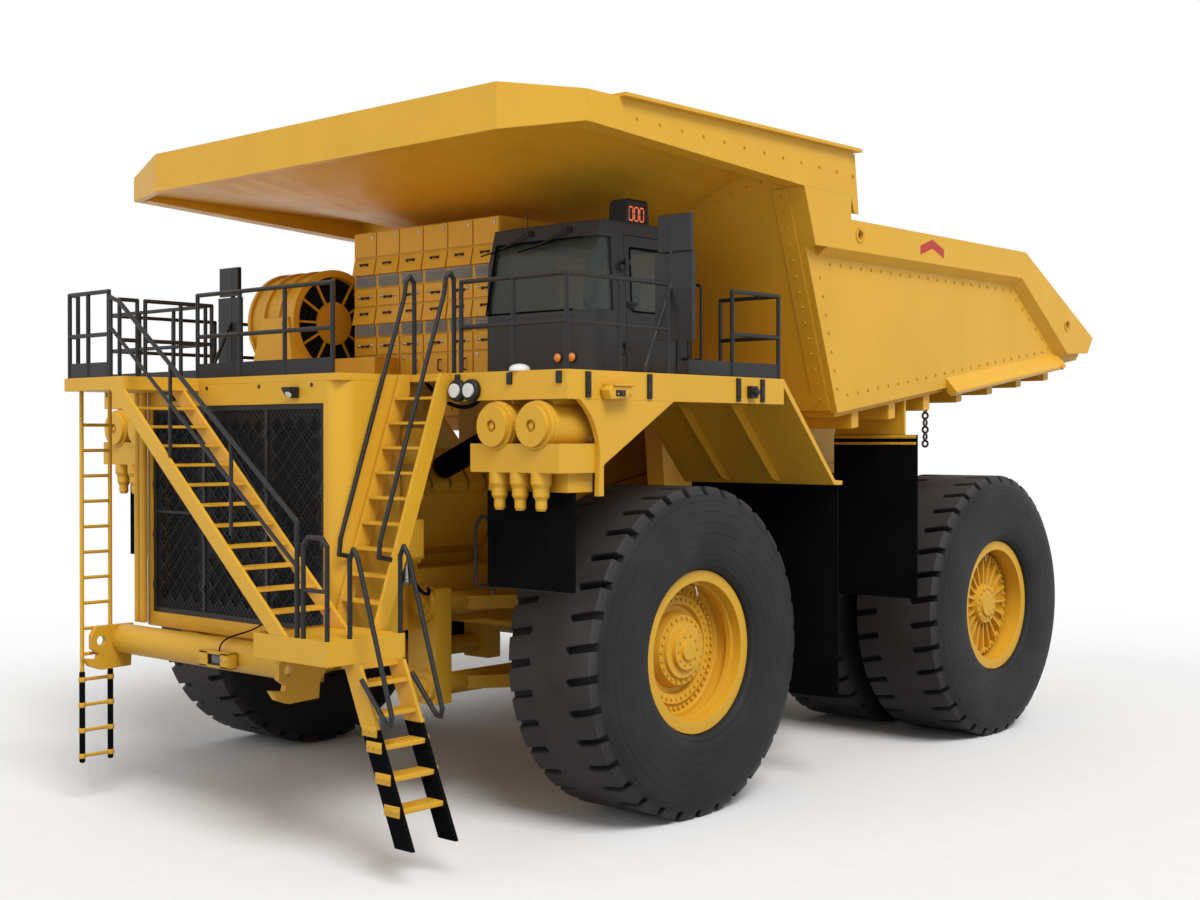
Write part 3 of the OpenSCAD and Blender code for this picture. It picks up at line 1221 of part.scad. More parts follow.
module front_rim_left() color(paint) from_axle() front_rim();
module front_rim_right() color(paint) from_axle() mirror([0, 1, 0]) front_rim();
hub_ribs = 20;
hub_rib_t = 30;
module rear_rim() translate([ra, rear_wheel_y, axle_z]) {
    drum = bead_r - rim_wall;
    out = rear_spindle_end - rear_wheel_y + 20;
    turned() {
        rim_barrel();
        translate([0, -dual_pitch]) rim_barrel();
        translate([drum - 100, -dual_pitch - 300]) square([101, dual_pitch + 500]);
        polygon([[rear_spindle_r + run_fit, -300], [drum - 50, -300], [drum - 50, 330], [690, 330], [680, 300], [300, 330],
            [270, 440], [180, 440], [170, 470], [0, 470], [0, out], [rear_spindle_r + run_fit, out]]);
    }
    for (i = [0 : hub_ribs - 1]) rotate([0, 360 * i / hub_ribs, 0])
        beam([-hub_rib_t / 2, 290, 285], [hub_rib_t / 2, 385, 670]);
}

module rear_rim_left() color(paint) from_axle() rear_rim();
module rear_rim_right() color(paint) from_axle() mirror([0, 1, 0]) rear_rim();

// Tyres: carcass with bulging sidewalls, and slots between the shoulder lugs
shoulder = 60;
module tyre_profile() {
    bead_half = rim_w / 2 - flange_t - seat_fit;
    bulge_r = (tyre_r + flange_r) / 2;
    wall_h = tyre_r - shoulder - flange_r - 10;
    upper = [for (a = [-90 : 15 : 60])
        [bulge_r - shoulder / 2 + sin(a) * wall_h / 2, bead_half + (tyre_w / 2 - bead_half) * pow(cos(a), 0.6)]];
    half = concat([[bead_r + seat_fit, bead_half]], upper, [[tyre_r, tyre_w / 2 - 140]]);
    polygon(concat(half, [for (i = [len(half) - 1 : -1 : 0]) [half[i][0], -half[i][1]]]));
}
slots = 34;
slot_w = 85;
slot_d = 100;
slot_len = 430;
slot_angle = 11;
module slot() translate([0, tyre_w / 2 - slot_len, tyre_r - slot_d]) rotate([0, 0, slot_angle]) {
    translate([-slot_w / 2, 0, 0]) cube([slot_w, slot_len * 1.2, slot_d * 2]);
    cylinder(h = slot_d * 2, r = slot_w / 2);
}
module tyre(y) translate([0, y, axle_z]) difference() {
    turned() tyre_profile();
    for (i = [0 : slots - 1]) {
        rotate([0, 360 * i / slots, 0]) slot();
        rotate([0, 360 * (i + 0.5) / slots, 0]) rotate([0, 0, 180]) slot();
    }
}

module front_tyre_left() color(rubber) from_axle() tyre(front_wheel_y);
module front_tyre_right() color(rubber) from_axle() tyre(-front_wheel_y);
module rear_tyres_left() color(rubber) from_axle() for (k = [0, 1])
    translate([ra, 0, 0]) tyre(rear_wheel_y - k * dual_pitch);
module rear_tyres_right() color(rubber) from_axle() for (k = [0, 1])
    translate([ra, 0, 0]) tyre(k * dual_pitch - rear_wheel_y);

main_frame();
front_bumper();
radiator_housing();
grille();
radiator();
engine();
front_arms();
struts();
rear_axle();
upper_deck();
fenders();
deck_rails();
front_stair();
cab_stair();
landing();
boarding_ladder();
service_ladder();
cab_shell();
cab_glass();
cab_interior();
cabinets();
retarder_grid();
air_cleaners();
headlamps();
displays();
mirrors();
wheel_flaps();
side_tanks();
blower();
cab_door();
door_glass();
bed_floor();
bed_sides();
bed_front();
canopy();
ejector_chains();
bed_flaps();
hoist_barrel_left();
hoist_barrel_right();
hoist_rod_left();
hoist_rod_right();
knuckle_left();
knuckle_right();
tie_rod();
front_rim_left();
front_rim_right();
front_tyre_left();
front_tyre_right();
rear_rim_left();
rear_rim_right();
rear_tyres_left();
rear_tyres_right();
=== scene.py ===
"""Looks of the mining dump truck: finishes, small hardware, stage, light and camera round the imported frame."""

import logging
import math
from dataclasses import dataclass
from enum import Enum
from typing import Iterable, Sequence

import bmesh
import bpy
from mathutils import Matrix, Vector


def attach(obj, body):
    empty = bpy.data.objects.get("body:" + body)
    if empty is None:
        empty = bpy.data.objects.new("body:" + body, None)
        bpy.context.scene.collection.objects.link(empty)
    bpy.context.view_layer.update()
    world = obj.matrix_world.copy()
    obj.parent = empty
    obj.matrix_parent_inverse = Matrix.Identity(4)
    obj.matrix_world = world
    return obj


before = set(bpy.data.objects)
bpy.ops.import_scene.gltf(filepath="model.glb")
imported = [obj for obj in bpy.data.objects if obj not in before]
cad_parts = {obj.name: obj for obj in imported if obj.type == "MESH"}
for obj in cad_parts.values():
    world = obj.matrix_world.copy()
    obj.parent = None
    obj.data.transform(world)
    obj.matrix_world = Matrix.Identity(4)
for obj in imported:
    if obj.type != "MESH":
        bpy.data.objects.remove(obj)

LOG = logging.getLogger("truck")
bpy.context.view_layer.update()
Flat = tuple[float, float]
Point = tuple[float, float, float]
Colour = tuple[float, float, float]
Socket = bpy.types.NodeSocket
Ring = list[bmesh.types.BMVert]

FRONT_AXLE = 2.655
REAR_AXLE = -6.86
AXLE_Z = 1.88
DECK_Z = 5.0
BED_EDGE = 4.2
AHEAD, LEFT, UP = (1, 0, 0), (0, 1, 0), (0, 0, 1)


def at(x: float, y: float, z: float) -> Vector:
    """Turns a place measured from the front axle into the part's frame.

    Args:
        x: metres ahead of the front axle.
        y: metres to the driver's left.
        z: metres above the ground.

    Returns:
        The point in the part's frame.
    """
    return Vector((x + FRONT_AXLE, y, z))


class Body(Enum):
    """The moving bodies that pieces ride on."""

    CHASSIS = "chassis"
    BED = "bed"
    DOOR = "door"
    FRONT_LEFT = "front_wheel_left"
    FRONT_RIGHT = "front_wheel_right"
    REAR_LEFT = "rear_wheels_left"
    REAR_RIGHT = "rear_wheels_right"


class Axis(Enum):
    """The direction that a round or extruded form runs along."""

    X = 0
    Y = 1
    Z = 2


class NodeTree:
    """The nodes of one material or world, with short ways to add and join them."""

    def __init__(self, owner: bpy.types.Material | bpy.types.World, out: str = "OutputMaterial") -> None:
        """Empties the owner's nodes.

        Args:
            owner: a new material or world.
            out: its output node's type.
        """
        owner.use_nodes = True
        self.owner = owner
        self.tree = owner.node_tree
        self.tree.nodes.clear()
        self.out = self.add(out)

    def feed(self, socket: Socket, value: object) -> None:
        """Links an output to an input, or sets the input's own value.

        Args:
            socket: the input.
            value: an output, or a value, without alpha for a colour.
        """
        if isinstance(value, Socket):
            self.tree.links.new(value, socket)
        else:
            socket.default_value = (*value, 1.0) if socket.type == "RGBA" else value

    def add(self, kind: str, *terms: object, **values: object) -> bpy.types.Node:
        """Adds a node.

        Args:
            kind: the node's type without its ShaderNode prefix.
            terms: values or sockets for its first inputs.
            values: attributes or, where no such attribute exists, values or sockets for inputs by name.

        Returns:
            The new node.
        """
        node = self.tree.nodes.new("ShaderNode" + kind)
        for key, value in values.items():
            if hasattr(node, key):
                setattr(node, key, value)
            else:
                self.feed(node.inputs[key.replace("_", " ")], value)
        for socket, value in zip(node.inputs, terms):
            self.feed(socket, value)
        return node

    def end(self, shader: bpy.types.Node) -> None:
        """Joins a shader to the output."""
        self.feed(self.out.inputs["Surface"], shader.outputs[0])

    def place(self) -> Socket:
        """Gives the object's own coordinates."""
        return self.add("TexCoord").outputs["Object"]

    def sum(self, operation: str, *terms: object) -> Socket:
        """Gives the result of an operation on numbers."""
        return self.add("Math", *terms, operation=operation).outputs[0]

    def length(self, spot: Socket) -> Socket:
        """Gives a place's distance from the origin."""
        return self.add("VectorMath", spot, operation="LENGTH").outputs["Value"]

    def seen(self) -> Socket:
        """Tells the rays that show the background from those that light the truck.

        Returns:
            1 for the camera's rays, reflections and glass, or else 0.
        """
        rays = self.add("LightPath").outputs
        direct = self.sum("MAXIMUM", rays["Is Camera Ray"], rays["Is Glossy Ray"])
        return self.sum("MAXIMUM", direct, rays["Is Transmission Ray"])

    def noise(self, scale: float, detail: float = 4.0, stretch: Point = (1, 1, 1)) -> Socket:
        """Adds a noise pattern on the object's coordinates.

        Args:
            scale: pattern repeats per metre.
            detail: octaves.
            stretch: factor on each axis.

        Returns:
            The noise value, from 0 to 1.
        """
        spot = self.add("Mapping", Scale=stretch, Vector=self.place()).outputs["Vector"]
        return self.add("TexNoise", Scale=scale, Detail=detail, Roughness=0.55, Vector=spot).outputs["Fac"]

    def span(self, value: Socket, low: float, high: float, start: float = 0.3, end: float = 0.7) -> Socket:
        """Maps a value's range to another.

        Args:
            value: the socket to map.
            low: result at start.
            high: result at end.
            start: value that gives low.
            end: value that gives high.

        Returns:
            The mapped value.
        """
        node = self.add("MapRange", From_Min=start, From_Max=end, To_Min=low, To_Max=high, Value=value)
        return node.outputs["Result"]

    def mix(self, share: Socket, a: Colour | Socket, b: Colour | Socket) -> Socket:
        """Mixes two colours.

        Args:
            share: how much of b shows.
            a: first colour or socket.
            b: second colour or socket.

        Returns:
            The mixed colour.
        """
        node = self.add("Mix", share, data_type="RGBA")
        self.feed(node.inputs[6], a)
        self.feed(node.inputs[7], b)
        return node.outputs[2]

    def bump(self, height: Socket, depth: float, rounding: float = 0.0) -> Socket:
        """Turns a height pattern into a surface normal, over softly rounded edges.

        Args:
            height: the pattern.
            depth: metres from its low to its high places.
            rounding: radius of the worn edges, or 0 for none.

        Returns:
            The normal.
        """
        node = self.add("Bump", Strength=1.0, Distance=depth, Height=height)
        if rounding:
            self.feed(node.inputs["Normal"], self.add("Bevel", samples=4, Radius=rounding).outputs["Normal"])
        return node.outputs["Normal"]

    def surface(self, **values: object) -> None:
        """Ends the material with a surface shader of the given values or sockets."""
        self.end(self.add("BsdfPrincipled", **values))


def shade(colour: Colour, factor: float) -> Colour:
    """Gives a colour made darker or lighter by a factor."""
    return tuple(c * factor for c in colour)


@dataclass(frozen=True)
class Finish:
    """A named surface finish that is made into a material once."""

    name: str
    slot: str

    def nodes(self, tree: NodeTree) -> None:
        """Fills the material's node tree.

        Args:
            tree: the material's nodes.
        """
        raise NotImplementedError

    def material(self) -> bpy.types.Material:
        """Makes the material at its first use.

        Returns:
            The finish's material.
        """
        known = bpy.data.materials.get(self.name)
        if known:
            return known
        tree = NodeTree(bpy.data.materials.new(self.name))
        self.nodes(tree)
        return tree.owner


@dataclass(frozen=True)
class Enamel(Finish):
    """Sprayed machine enamel with orange peel, faint fading, streaks of dust, and painted shade that darkens its
    hollows.
    """

    colour: Colour = (0.79, 0.43, 0.030)
    dust: Colour = (0.60, 0.34, 0.06)
    roughness: float = 0.42
    dusty: float = 0.22
    rounding: float = 0.012
    coat: float = 0.06
    gloss: float = 0.30

    def nodes(self, tree: NodeTree) -> None:
        """Fills the material's node tree.

        Args:
            tree: the material's nodes.
        """
        runs = tree.noise(2.2, 6.0, (1.0, 1.0, 0.18))
        faded = tree.mix(tree.span(tree.noise(0.7, 3.0), 0.0, 1.0), self.colour, shade(self.colour, 0.93))
        dirty = tree.mix(tree.span(runs, 0.0, self.dusty, 0.5, 0.85), faded, self.dust)
        # painted shade: ambient occlusion darkens the paint towards half its own colour in hollows, corners and between
        # parts
        painted_shade_ao = tree.add("AmbientOcclusion", samples=4, Distance=0.18).outputs["AO"]
        colour = tree.mix(tree.span(painted_shade_ao, 0.45, 0.0, 0.25, 0.8), dirty, shade(self.colour, 0.5))
        tree.surface(Base_Color=colour, Roughness=tree.span(runs, self.roughness - 0.05, self.roughness + 0.10),
                     Normal=tree.bump(tree.noise(140.0, 2.0), 0.0006, self.rounding), Coat_Weight=self.coat,
                     Coat_Roughness=0.12, Specular_IOR_Level=self.gloss)


@dataclass(frozen=True)
class Rubber(Finish):
    """Moulded or sheet rubber with a fine grain and a dry, dusty bloom."""

    colour: Colour = (0.028, 0.028, 0.030)
    bloom: Colour = (0.060, 0.058, 0.056)
    roughness: float = 0.62
    grain: float = 0.0012
    rounding: float = 0.02
    gloss: float = 0.16

    def nodes(self, tree: NodeTree) -> None:
        """Fills the material's node tree.

        Args:
            tree: the material's nodes.
        """
        cloud, fine = tree.noise(1.6, 6.0), tree.noise(55.0, 5.0)
        self.skin(tree, self.side(tree, cloud), fine, tree.bump(fine, self.grain, self.rounding))

    def side(self, tree: NodeTree, cloud: Socket) -> Socket:
        """Gives the rubber's colour with its bloom in clouds."""
        return tree.mix(tree.span(cloud, 0.0, 0.8, 0.35, 0.75), self.colour, self.bloom)

    def skin(self, tree: NodeTree, colour: Socket, fine: Socket, normal: Socket) -> None:
        """Ends the material with a dry rubber surface."""
        tree.surface(Base_Color=colour, Roughness=tree.span(fine, self.roughness - 0.06, self.roughness + 0.12),
                     Normal=normal, Specular_IOR_Level=self.gloss)


@dataclass(frozen=True)
class Tyre(Rubber):
    """Tyre rubber with rings moulded round the wheel's axle and dust on the tread."""

    centre: float = 0.0
    rings: float = 52.0
    depth: float = 0.006
    tread: Colour = (0.060, 0.055, 0.055)
    tread_from: float = 1.78
    tread_full: float = 1.84

    def nodes(self, tree: NodeTree) -> None:
        """Fills the material's node tree.

        Args:
            tree: the material's nodes.
        """
        away = tree.add("VectorMath", tree.place(), (self.centre, 0.0, AXLE_Z), operation="SUBTRACT").outputs[0]
        radius = tree.length(tree.add("VectorMath", away, (1.0, 0.0, 1.0), operation="MULTIPLY").outputs[0])
        wave = tree.sum("SINE", tree.sum("MULTIPLY", radius, self.rings))
        cloud, fine = tree.noise(1.6, 6.0), tree.noise(55.0, 5.0)
        height = tree.sum("MULTIPLY_ADD", fine, 0.3, tree.span(wave, 0.0, 1.0, 0.93, 0.99))
        tread = tree.mix(tree.span(cloud, 0.0, 1.0), self.tread, shade(self.tread, 0.7))
        dusty = tree.span(radius, 0.0, 1.0, self.tread_from, self.tread_full)
        self.skin(tree, tree.mix(dusty, self.side(tree, cloud), tread), fine,
                  tree.bump(height, self.depth, self.rounding))


@dataclass(frozen=True)
class Metal(Finish):
    """Bare or plated metal with drawn scratches and dull patches."""

    colour: Colour = (0.46, 0.45, 0.44)
    dull: Colour = (0.24, 0.22, 0.20)
    roughness: float = 0.34
    patch: float = 0.5

    def nodes(self, tree: NodeTree) -> None:
        """Fills the material's node tree.

        Args:
            tree: the material's nodes.
        """
        blotch = tree.noise(7.0, 6.0)
        drawn = tree.noise(60.0, 3.0, (1.0, 1.0, 0.08))
        colour = tree.mix(tree.span(blotch, 0.0, self.patch, 0.45, 0.75), self.colour, self.dull)
        tree.surface(Base_Color=colour, Metallic=1.0,
                     Roughness=tree.span(blotch, self.roughness - 0.08, self.roughness + 0.18),
                     Normal=tree.bump(drawn, 0.0004, 0.006))


@dataclass(frozen=True)
class Glass(Finish):
    """Clear tinted pane with faint wiping marks."""

    tint: Colour = (0.075, 0.100, 0.092)
    veil: float = 0.36
    shine: float = 0.50

    def nodes(self, tree: NodeTree) -> None:
        """Fills the material's node tree.

        Args:
            tree: the material's nodes.
        """
        smear = tree.noise(3.0, 4.0, (0.4, 1.0, 1.6))
        tree.surface(Base_Color=self.tint, Roughness=tree.span(smear, 0.02, 0.10), Alpha=self.veil,
                     Specular_IOR_Level=self.shine)


@dataclass(frozen=True)
class Lens(Finish):
    """Moulded lamp lens with fine flutes."""

    colour: Colour = (0.80, 0.80, 0.78)
    glow: float = 0.0

    def nodes(self, tree: NodeTree) -> None:
        """Fills the material's node tree.

        Args:
            tree: the material's nodes.
        """
        flute = tree.noise(60.0, 1.0, (1.0, 1.0, 0.05))
        colour = tree.mix(tree.span(flute, 0.0, 0.3), self.colour, shade(self.colour, 0.6))
        tree.surface(Base_Color=colour, Roughness=0.12, Coat_Weight=0.6, Normal=tree.bump(flute, 0.002),
                     Emission_Color=self.colour, Emission_Strength=self.glow)


@dataclass(frozen=True)
class Plastic(Finish):
    """Grained moulding or vinyl."""

    colour: Colour = (0.05, 0.05, 0.055)
    roughness: float = 0.55
    grain: float = 0.0008

    def nodes(self, tree: NodeTree) -> None:
        """Fills the material's node tree.

        Args:
            tree: the material's nodes.
        """
        grain = tree.noise(220.0, 3.0)
        cloud = tree.noise(5.0, 3.0)
        colour = tree.mix(tree.span(cloud, 0.0, 0.6), self.colour, shade(self.colour, 1.5))
        tree.surface(Base_Color=colour, Roughness=tree.span(grain, self.roughness - 0.08, self.roughness + 0.1),
                     Normal=tree.bump(grain, self.grain, 0.004))


YELLOW = Enamel("machine_yellow", "yellow_paint")
BLACK = Enamel("satin_black", "black_paint", (0.012, 0.012, 0.013), (0.035, 0.033, 0.03), 0.42, 0.35, 0.008, 0.05)
CAB = Enamel("cab_charcoal", "black_paint", (0.022, 0.023, 0.025), (0.05, 0.047, 0.045), 0.45, 0.3, 0.012, 0.05)
GREY = Enamel("slot_grey", "bare_steel", (0.46, 0.45, 0.43), (0.22, 0.20, 0.16), 0.5, 0.4, 0.004, 0.0)
WHITE = Enamel("dome_white", "bare_steel", (0.80, 0.80, 0.78), (0.6, 0.56, 0.5), 0.35, 0.2, 0.006, 0.2)
RED = Enamel("mark_red", "lamp_lens", (0.50, 0.030, 0.022), (0.38, 0.08, 0.05), 0.4, 0.2, 0.0, 0.1)
FRONT_TYRE = Tyre("front_tyre_rubber", "tyre_rubber", (0.020, 0.020, 0.022), (0.036, 0.036, 0.037), 0.58, 0.003,
                  0.03, 0.16, FRONT_AXLE)
REAR_TYRE = Tyre("rear_tyre_rubber", "tyre_rubber", (0.020, 0.020, 0.022), (0.036, 0.036, 0.037), 0.58, 0.003,
                 0.03, 0.16, FRONT_AXLE + REAR_AXLE)
FLAP = Rubber("flap_sheet", "flap_rubber", (0.006, 0.006, 0.007), (0.010, 0.010, 0.010), 0.80, 0.0012, 0.006,
              0.0)
STEEL = Metal("dull_steel", "bare_steel")
CHROME = Metal("hoist_chrome", "rod_chrome", (0.78, 0.78, 0.80), (0.6, 0.6, 0.6), 0.12, 0.2)
CHAIN = Metal("chain_iron", "bare_steel", (0.16, 0.15, 0.14), (0.07, 0.05, 0.04), 0.5, 0.8)
GLASS = Glass("tinted_pane", "window_glass")
CLEAR = Lens("clear_lens", "lamp_lens")
AMBER = Lens("amber_lens", "lamp_lens", (0.85, 0.28, 0.02))
DIGITS = Lens("lit_digits", "lamp_lens", (0.90, 0.16, 0.03), 0.8)
SCREEN = Lens("dark_screen", "lamp_lens", (0.02, 0.03, 0.03))
TRIM = Plastic("cab_vinyl", "cab_trim")
SEAT = Plastic("seat_cloth", "cab_trim", (0.035, 0.036, 0.04), 0.8, 0.0015)
CORE = Enamel("radiator_black", "black_paint", (0.012, 0.012, 0.013), (0.03, 0.028, 0.025), 0.6, 0.4, 0.006, 0.0)


@dataclass
class FrameFinishes:
    """Gives every CAD node its finish, yellow where none is named."""

    named: tuple[tuple[Finish, str], ...] = (
        (BLACK, "grille deck_rails displays"), (CORE, "radiator"),
        (CAB, "cab_shell cab_door mirrors"), (FLAP, "wheel_flaps bed_flaps boarding_ladder"),
        (FRONT_TYRE, "front_tyre_left front_tyre_right"),
        (REAR_TYRE, "rear_tyres_left rear_tyres_right"), (GLASS, "cab_glass door_glass"),
        (STEEL, "struts blower"), (CHAIN, "ejector_chains"),
        (CHROME, "hoist_rod_left hoist_rod_right"), (CLEAR, "headlamps"),
        (TRIM, "cab_interior"))

    def dress(self) -> None:
        """Puts each node's material in its slots."""
        by_node = {name: finish for finish, names in self.named for name in names.split()}
        for name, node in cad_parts.items():
            finish = by_node.get(name, YELLOW)
            node.data.materials.clear()
            node.data.materials.append(finish.material())
            LOG.info("%s: %s", name, finish.name)


class Shape:
    """A mesh under construction. Its places are metres from the front axle."""

    def __init__(self) -> None:
        """Starts an empty mesh."""
        self.bm = bmesh.new()

    def soften(self, faces: Iterable[bmesh.types.BMFace], bevel: float) -> None:
        """Rounds the edges of faces by the bevel's width."""
        edges = list(dict.fromkeys(edge for face in faces for edge in face.edges))
        bmesh.ops.bevel(self.bm, geom=edges, offset=bevel, segments=2, profile=0.6, affect="EDGES", clamp_overlap=True)

    def prism(self, outline: Sequence[Flat], axis: Axis, start: float, end: float,
              bevel: float = 0.004) -> "Shape":
        """Adds an outline run along an axis.

        Args:
            outline: corners in the two other axes, in their order.
            axis: direction of the run.
            start: place along the axis where it begins.
            end: place where it ends.
            bevel: width of its rounded edges.

        Returns:
            The shape itself.
        """
        order = {Axis.X: lambda u, v, w: (w, u, v), Axis.Y: lambda u, v, w: (u, w, v),
                 Axis.Z: lambda u, v, w: (u, v, w)}[axis]
        rings = [[self.bm.verts.new(at(*order(u, v, w))) for u, v in outline] for w in (start, end)]
        faces = [self.bm.faces.new(ring) for ring in rings]
        for i in range(len(outline)):
            j = (i + 1) % len(outline)
            faces.append(self.bm.faces.new((rings[0][i], rings[0][j], rings[1][j], rings[1][i])))
        bmesh.ops.recalc_face_normals(self.bm, faces=faces)
        if bevel:
            self.soften(faces, bevel)
        return self

    def box(self, low: Point, high: Point, bevel: float = 0.004) -> "Shape":
        """Adds a box between two corners with rounded edges."""
        return self.prism([(low[0], low[1]), (high[0], low[1]), (high[0], high[1]), (low[0], high[1])], Axis.Z,
                          low[2], high[2], bevel)

    def ring(self, centre: Vector, side: Vector, up: Vector, radius: float, sides: int) -> Ring:
        """Adds points round a centre, in the plane of side and up."""
        turns = (math.tau * k / sides for k in range(sides))
        return [self.bm.verts.new(centre + radius * (side * math.cos(t) + up * math.sin(t))) for t in turns]

    def skin(self, rings: Sequence[Ring]) -> "Shape":
        """Joins each ring of points to the next with faces and closes both ends.

        Args:
            rings: the rings in order.

        Returns:
            The shape itself.
        """
        for a, b in zip(rings, rings[1:]):
            for i in range(len(a)):
                j = (i + 1) % len(a)
                self.bm.faces.new((a[i], a[j], b[j], b[i]))
        self.bm.faces.new(list(reversed(rings[0])))
        self.bm.faces.new(rings[-1])
        return self

    def sweep(self, spots: Sequence[Vector], radius: float, sides: int = 10) -> "Shape":
        """Runs a round bar through points in the part's frame.

        Args:
            spots: the centre line.
            radius: the bar's radius.
            sides: faces round it.

        Returns:
            The shape itself.
        """
        side = (spots[1] - spots[0]).orthogonal().normalized()
        rings = []
        for i, spot in enumerate(spots):
            ahead = (spots[min(i + 1, len(spots) - 1)] - spots[max(i - 1, 0)]).normalized()
            side = (side - ahead * side.dot(ahead)).normalized()
            rings.append(self.ring(spot, side, ahead.cross(side), radius, sides))
        return self.skin(rings)

    def tube(self, points: Sequence[Point], radius: float, bend: float = 0.0, sides: int = 10) -> "Shape":
        """Adds a tube through points with rounded bends.

        Args:
            points: corners of its line.
            radius: the tube's radius.
            bend: how far from a corner the bend begins.
            sides: faces round it.

        Returns:
            The shape itself.
        """
        spots = [at(*p) for p in points]
        path = [spots[0]]
        for before, spot, after in zip(spots, spots[1:], spots[2:]):
            cut = min(bend, (spot - before).length * 0.45, (after - spot).length * 0.45)
            a = spot + (before - spot).normalized() * cut
            b = spot + (after - spot).normalized() * cut
            path += [a.lerp(spot, t / 5).lerp(spot.lerp(b, t / 5), t / 5) for t in range(6)] if cut else [spot]
        return self.sweep(path + [spots[-1]], radius, sides)

    def lathe(self, profile: Sequence[Flat], centre: Point, axis: Point, sides: int = 32) -> "Shape":
        """Adds a turned form.

        Args:
            profile: radius and place along the axis, from its foot outwards.
            centre: the foot's centre.
            axis: direction outwards.
            sides: faces round it.

        Returns:
            The shape itself.
        """
        foot, along = at(*centre), Vector(axis).normalized()
        side = along.orthogonal().normalized()
        up = along.cross(side)
        return self.skin([self.ring(foot + along * s, side, up, r, sides) for r, s in profile])

    def stud(self, centre: Point, axis: Point, radius: float, height: float, sides: int = 6) -> "Shape":
        """Adds a bolt head or nut with a chamfered top on a washer."""
        return self.lathe([(radius * 1.25, 0.0), (radius * 1.25, height * 0.15), (radius, height * 0.16),
                           (radius, height * 0.8), (radius * 0.8, height)], centre, axis, sides)

    def studs(self, centres: Iterable[Point], axis: Point, radius: float, height: float) -> "Shape":
        """Adds bolt heads.

        Args:
            centres: their feet.
            axis: direction outwards.
            radius: the heads' radius.
            height: the heads' height.

        Returns:
            The shape itself.
        """
        for centre in centres:
            self.stud(centre, axis, radius, height)
        return self

    def border(self, x: Flat, y: Flat, z: Flat, tall: float, wide: float) -> "Shape":
        """Adds four bars round an opening that faces ahead.

        Args:
            x: where the bars begin and end along the truck.
            y: the outer edges across the truck.
            z: the outer edges in height.
            tall: height of the upper and lower bars.
            wide: width of the side bars.

        Returns:
            The shape itself.
        """
        for y0, y1, z0, z1 in ((*y, z[1] - tall, z[1]), (*y, z[0], z[0] + tall), (y[0], y[0] + wide, *z),
                               (y[1] - wide, y[1], *z)):
            self.box((x[0], y0, z0), (x[1], y1, z1))
        return self

    def mirrored(self) -> "Shape":
        """Adds the same form on the other side of the truck.

        Returns:
            The shape itself.
        """
        bm = self.bm
        made = bmesh.ops.duplicate(bm, geom=bm.verts[:] + bm.edges[:] + bm.faces[:])["geom"]
        for vert in (v for v in made if isinstance(v, bmesh.types.BMVert)):
            vert.co.y = -vert.co.y
        bmesh.ops.reverse_faces(bm, faces=[f for f in made if isinstance(f, bmesh.types.BMFace)])
        return self

    def piece(self, name: str, finish: Finish, body: Body = Body.CHASSIS) -> bpy.types.Object:
        """Ends the shape as a piece that rides on a body.

        Args:
            name: the piece's name.
            finish: its finish.
            body: what it moves with.

        Returns:
            The new object.
        """
        mesh = bpy.data.meshes.new(name)
        self.bm.to_mesh(mesh)
        self.bm.free()
        mesh.polygons.foreach_set("use_smooth", [True] * len(mesh.polygons))
        mesh.set_sharp_from_angle(angle=math.radians(38))
        mesh.materials.append(finish.material())
        made = bpy.data.objects.new(name, mesh)
        bpy.context.scene.collection.objects.link(made)
        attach(made, body.value)
        LOG.info("%s: %d faces on %s", name, len(mesh.polygons), body.value)
        return made


@dataclass
class Wheel:
    """Nuts, studs and valve of one wheel."""

    name: str
    body: Body
    centre: Point
    side: int
    rings: tuple[tuple[float, float, int, float], ...]
    valve: float

    def build(self) -> None:
        """Makes the rings of nuts and the valve."""
        nuts = Shape()
        x, y, z = self.centre
        for radius, out, count, size in self.rings:
            for k in range(count):
                turn = math.tau * k / count
                nuts.stud((x + radius * math.cos(turn), y + self.side * out, z + radius * math.sin(turn)),
                          (0, self.side, 0), size, size * 1.1)
        nuts.piece("wheel_nuts_" + self.name, YELLOW, self.body)
        out = y + self.side * self.valve
        stem = Shape().tube([(x, out, z + 0.76), (x, out + self.side * 0.07, z + 0.74),
                             (x, out + self.side * 0.09, z + 0.66)], 0.012, 0.03, 8)
        stem.stud((x, out + self.side * 0.09, z + 0.665), (0, 0, -1), 0.016, 0.03, 10)
        stem.piece("wheel_valve_" + self.name, STEEL, self.body)


@dataclass
class Wheels:
    """The hardware of all wheels."""

    front: tuple[tuple[float, float, int, float], ...] = (
        (0.683, 0.215, 52, 0.024), (0.572, 0.25, 40, 0.016), (0.365, 0.33, 24, 0.017), (0.17, 0.42, 10, 0.013))
    rear: tuple[tuple[float, float, int, float], ...] = ((0.72, 0.33, 48, 0.023), (0.225, 0.44, 16, 0.016))
    front_face: float = 3.395
    rear_face: float = 3.485
    front_valve: float = 0.46
    rear_valve: float = 0.33

    def build(self) -> None:
        """Makes each wheel's hardware."""
        for side, word, front, rear in ((1, "left", Body.FRONT_LEFT, Body.REAR_LEFT),
                                        (-1, "right", Body.FRONT_RIGHT, Body.REAR_RIGHT)):
            ahead, behind = (0.0, side * self.front_face, AXLE_Z), (REAR_AXLE, side * self.rear_face, AXLE_Z)
            Wheel("front_" + word, front, ahead, side, self.front, self.front_valve).build()
            Wheel("rear_" + word, rear, behind, side, self.rear, self.rear_valve).build()


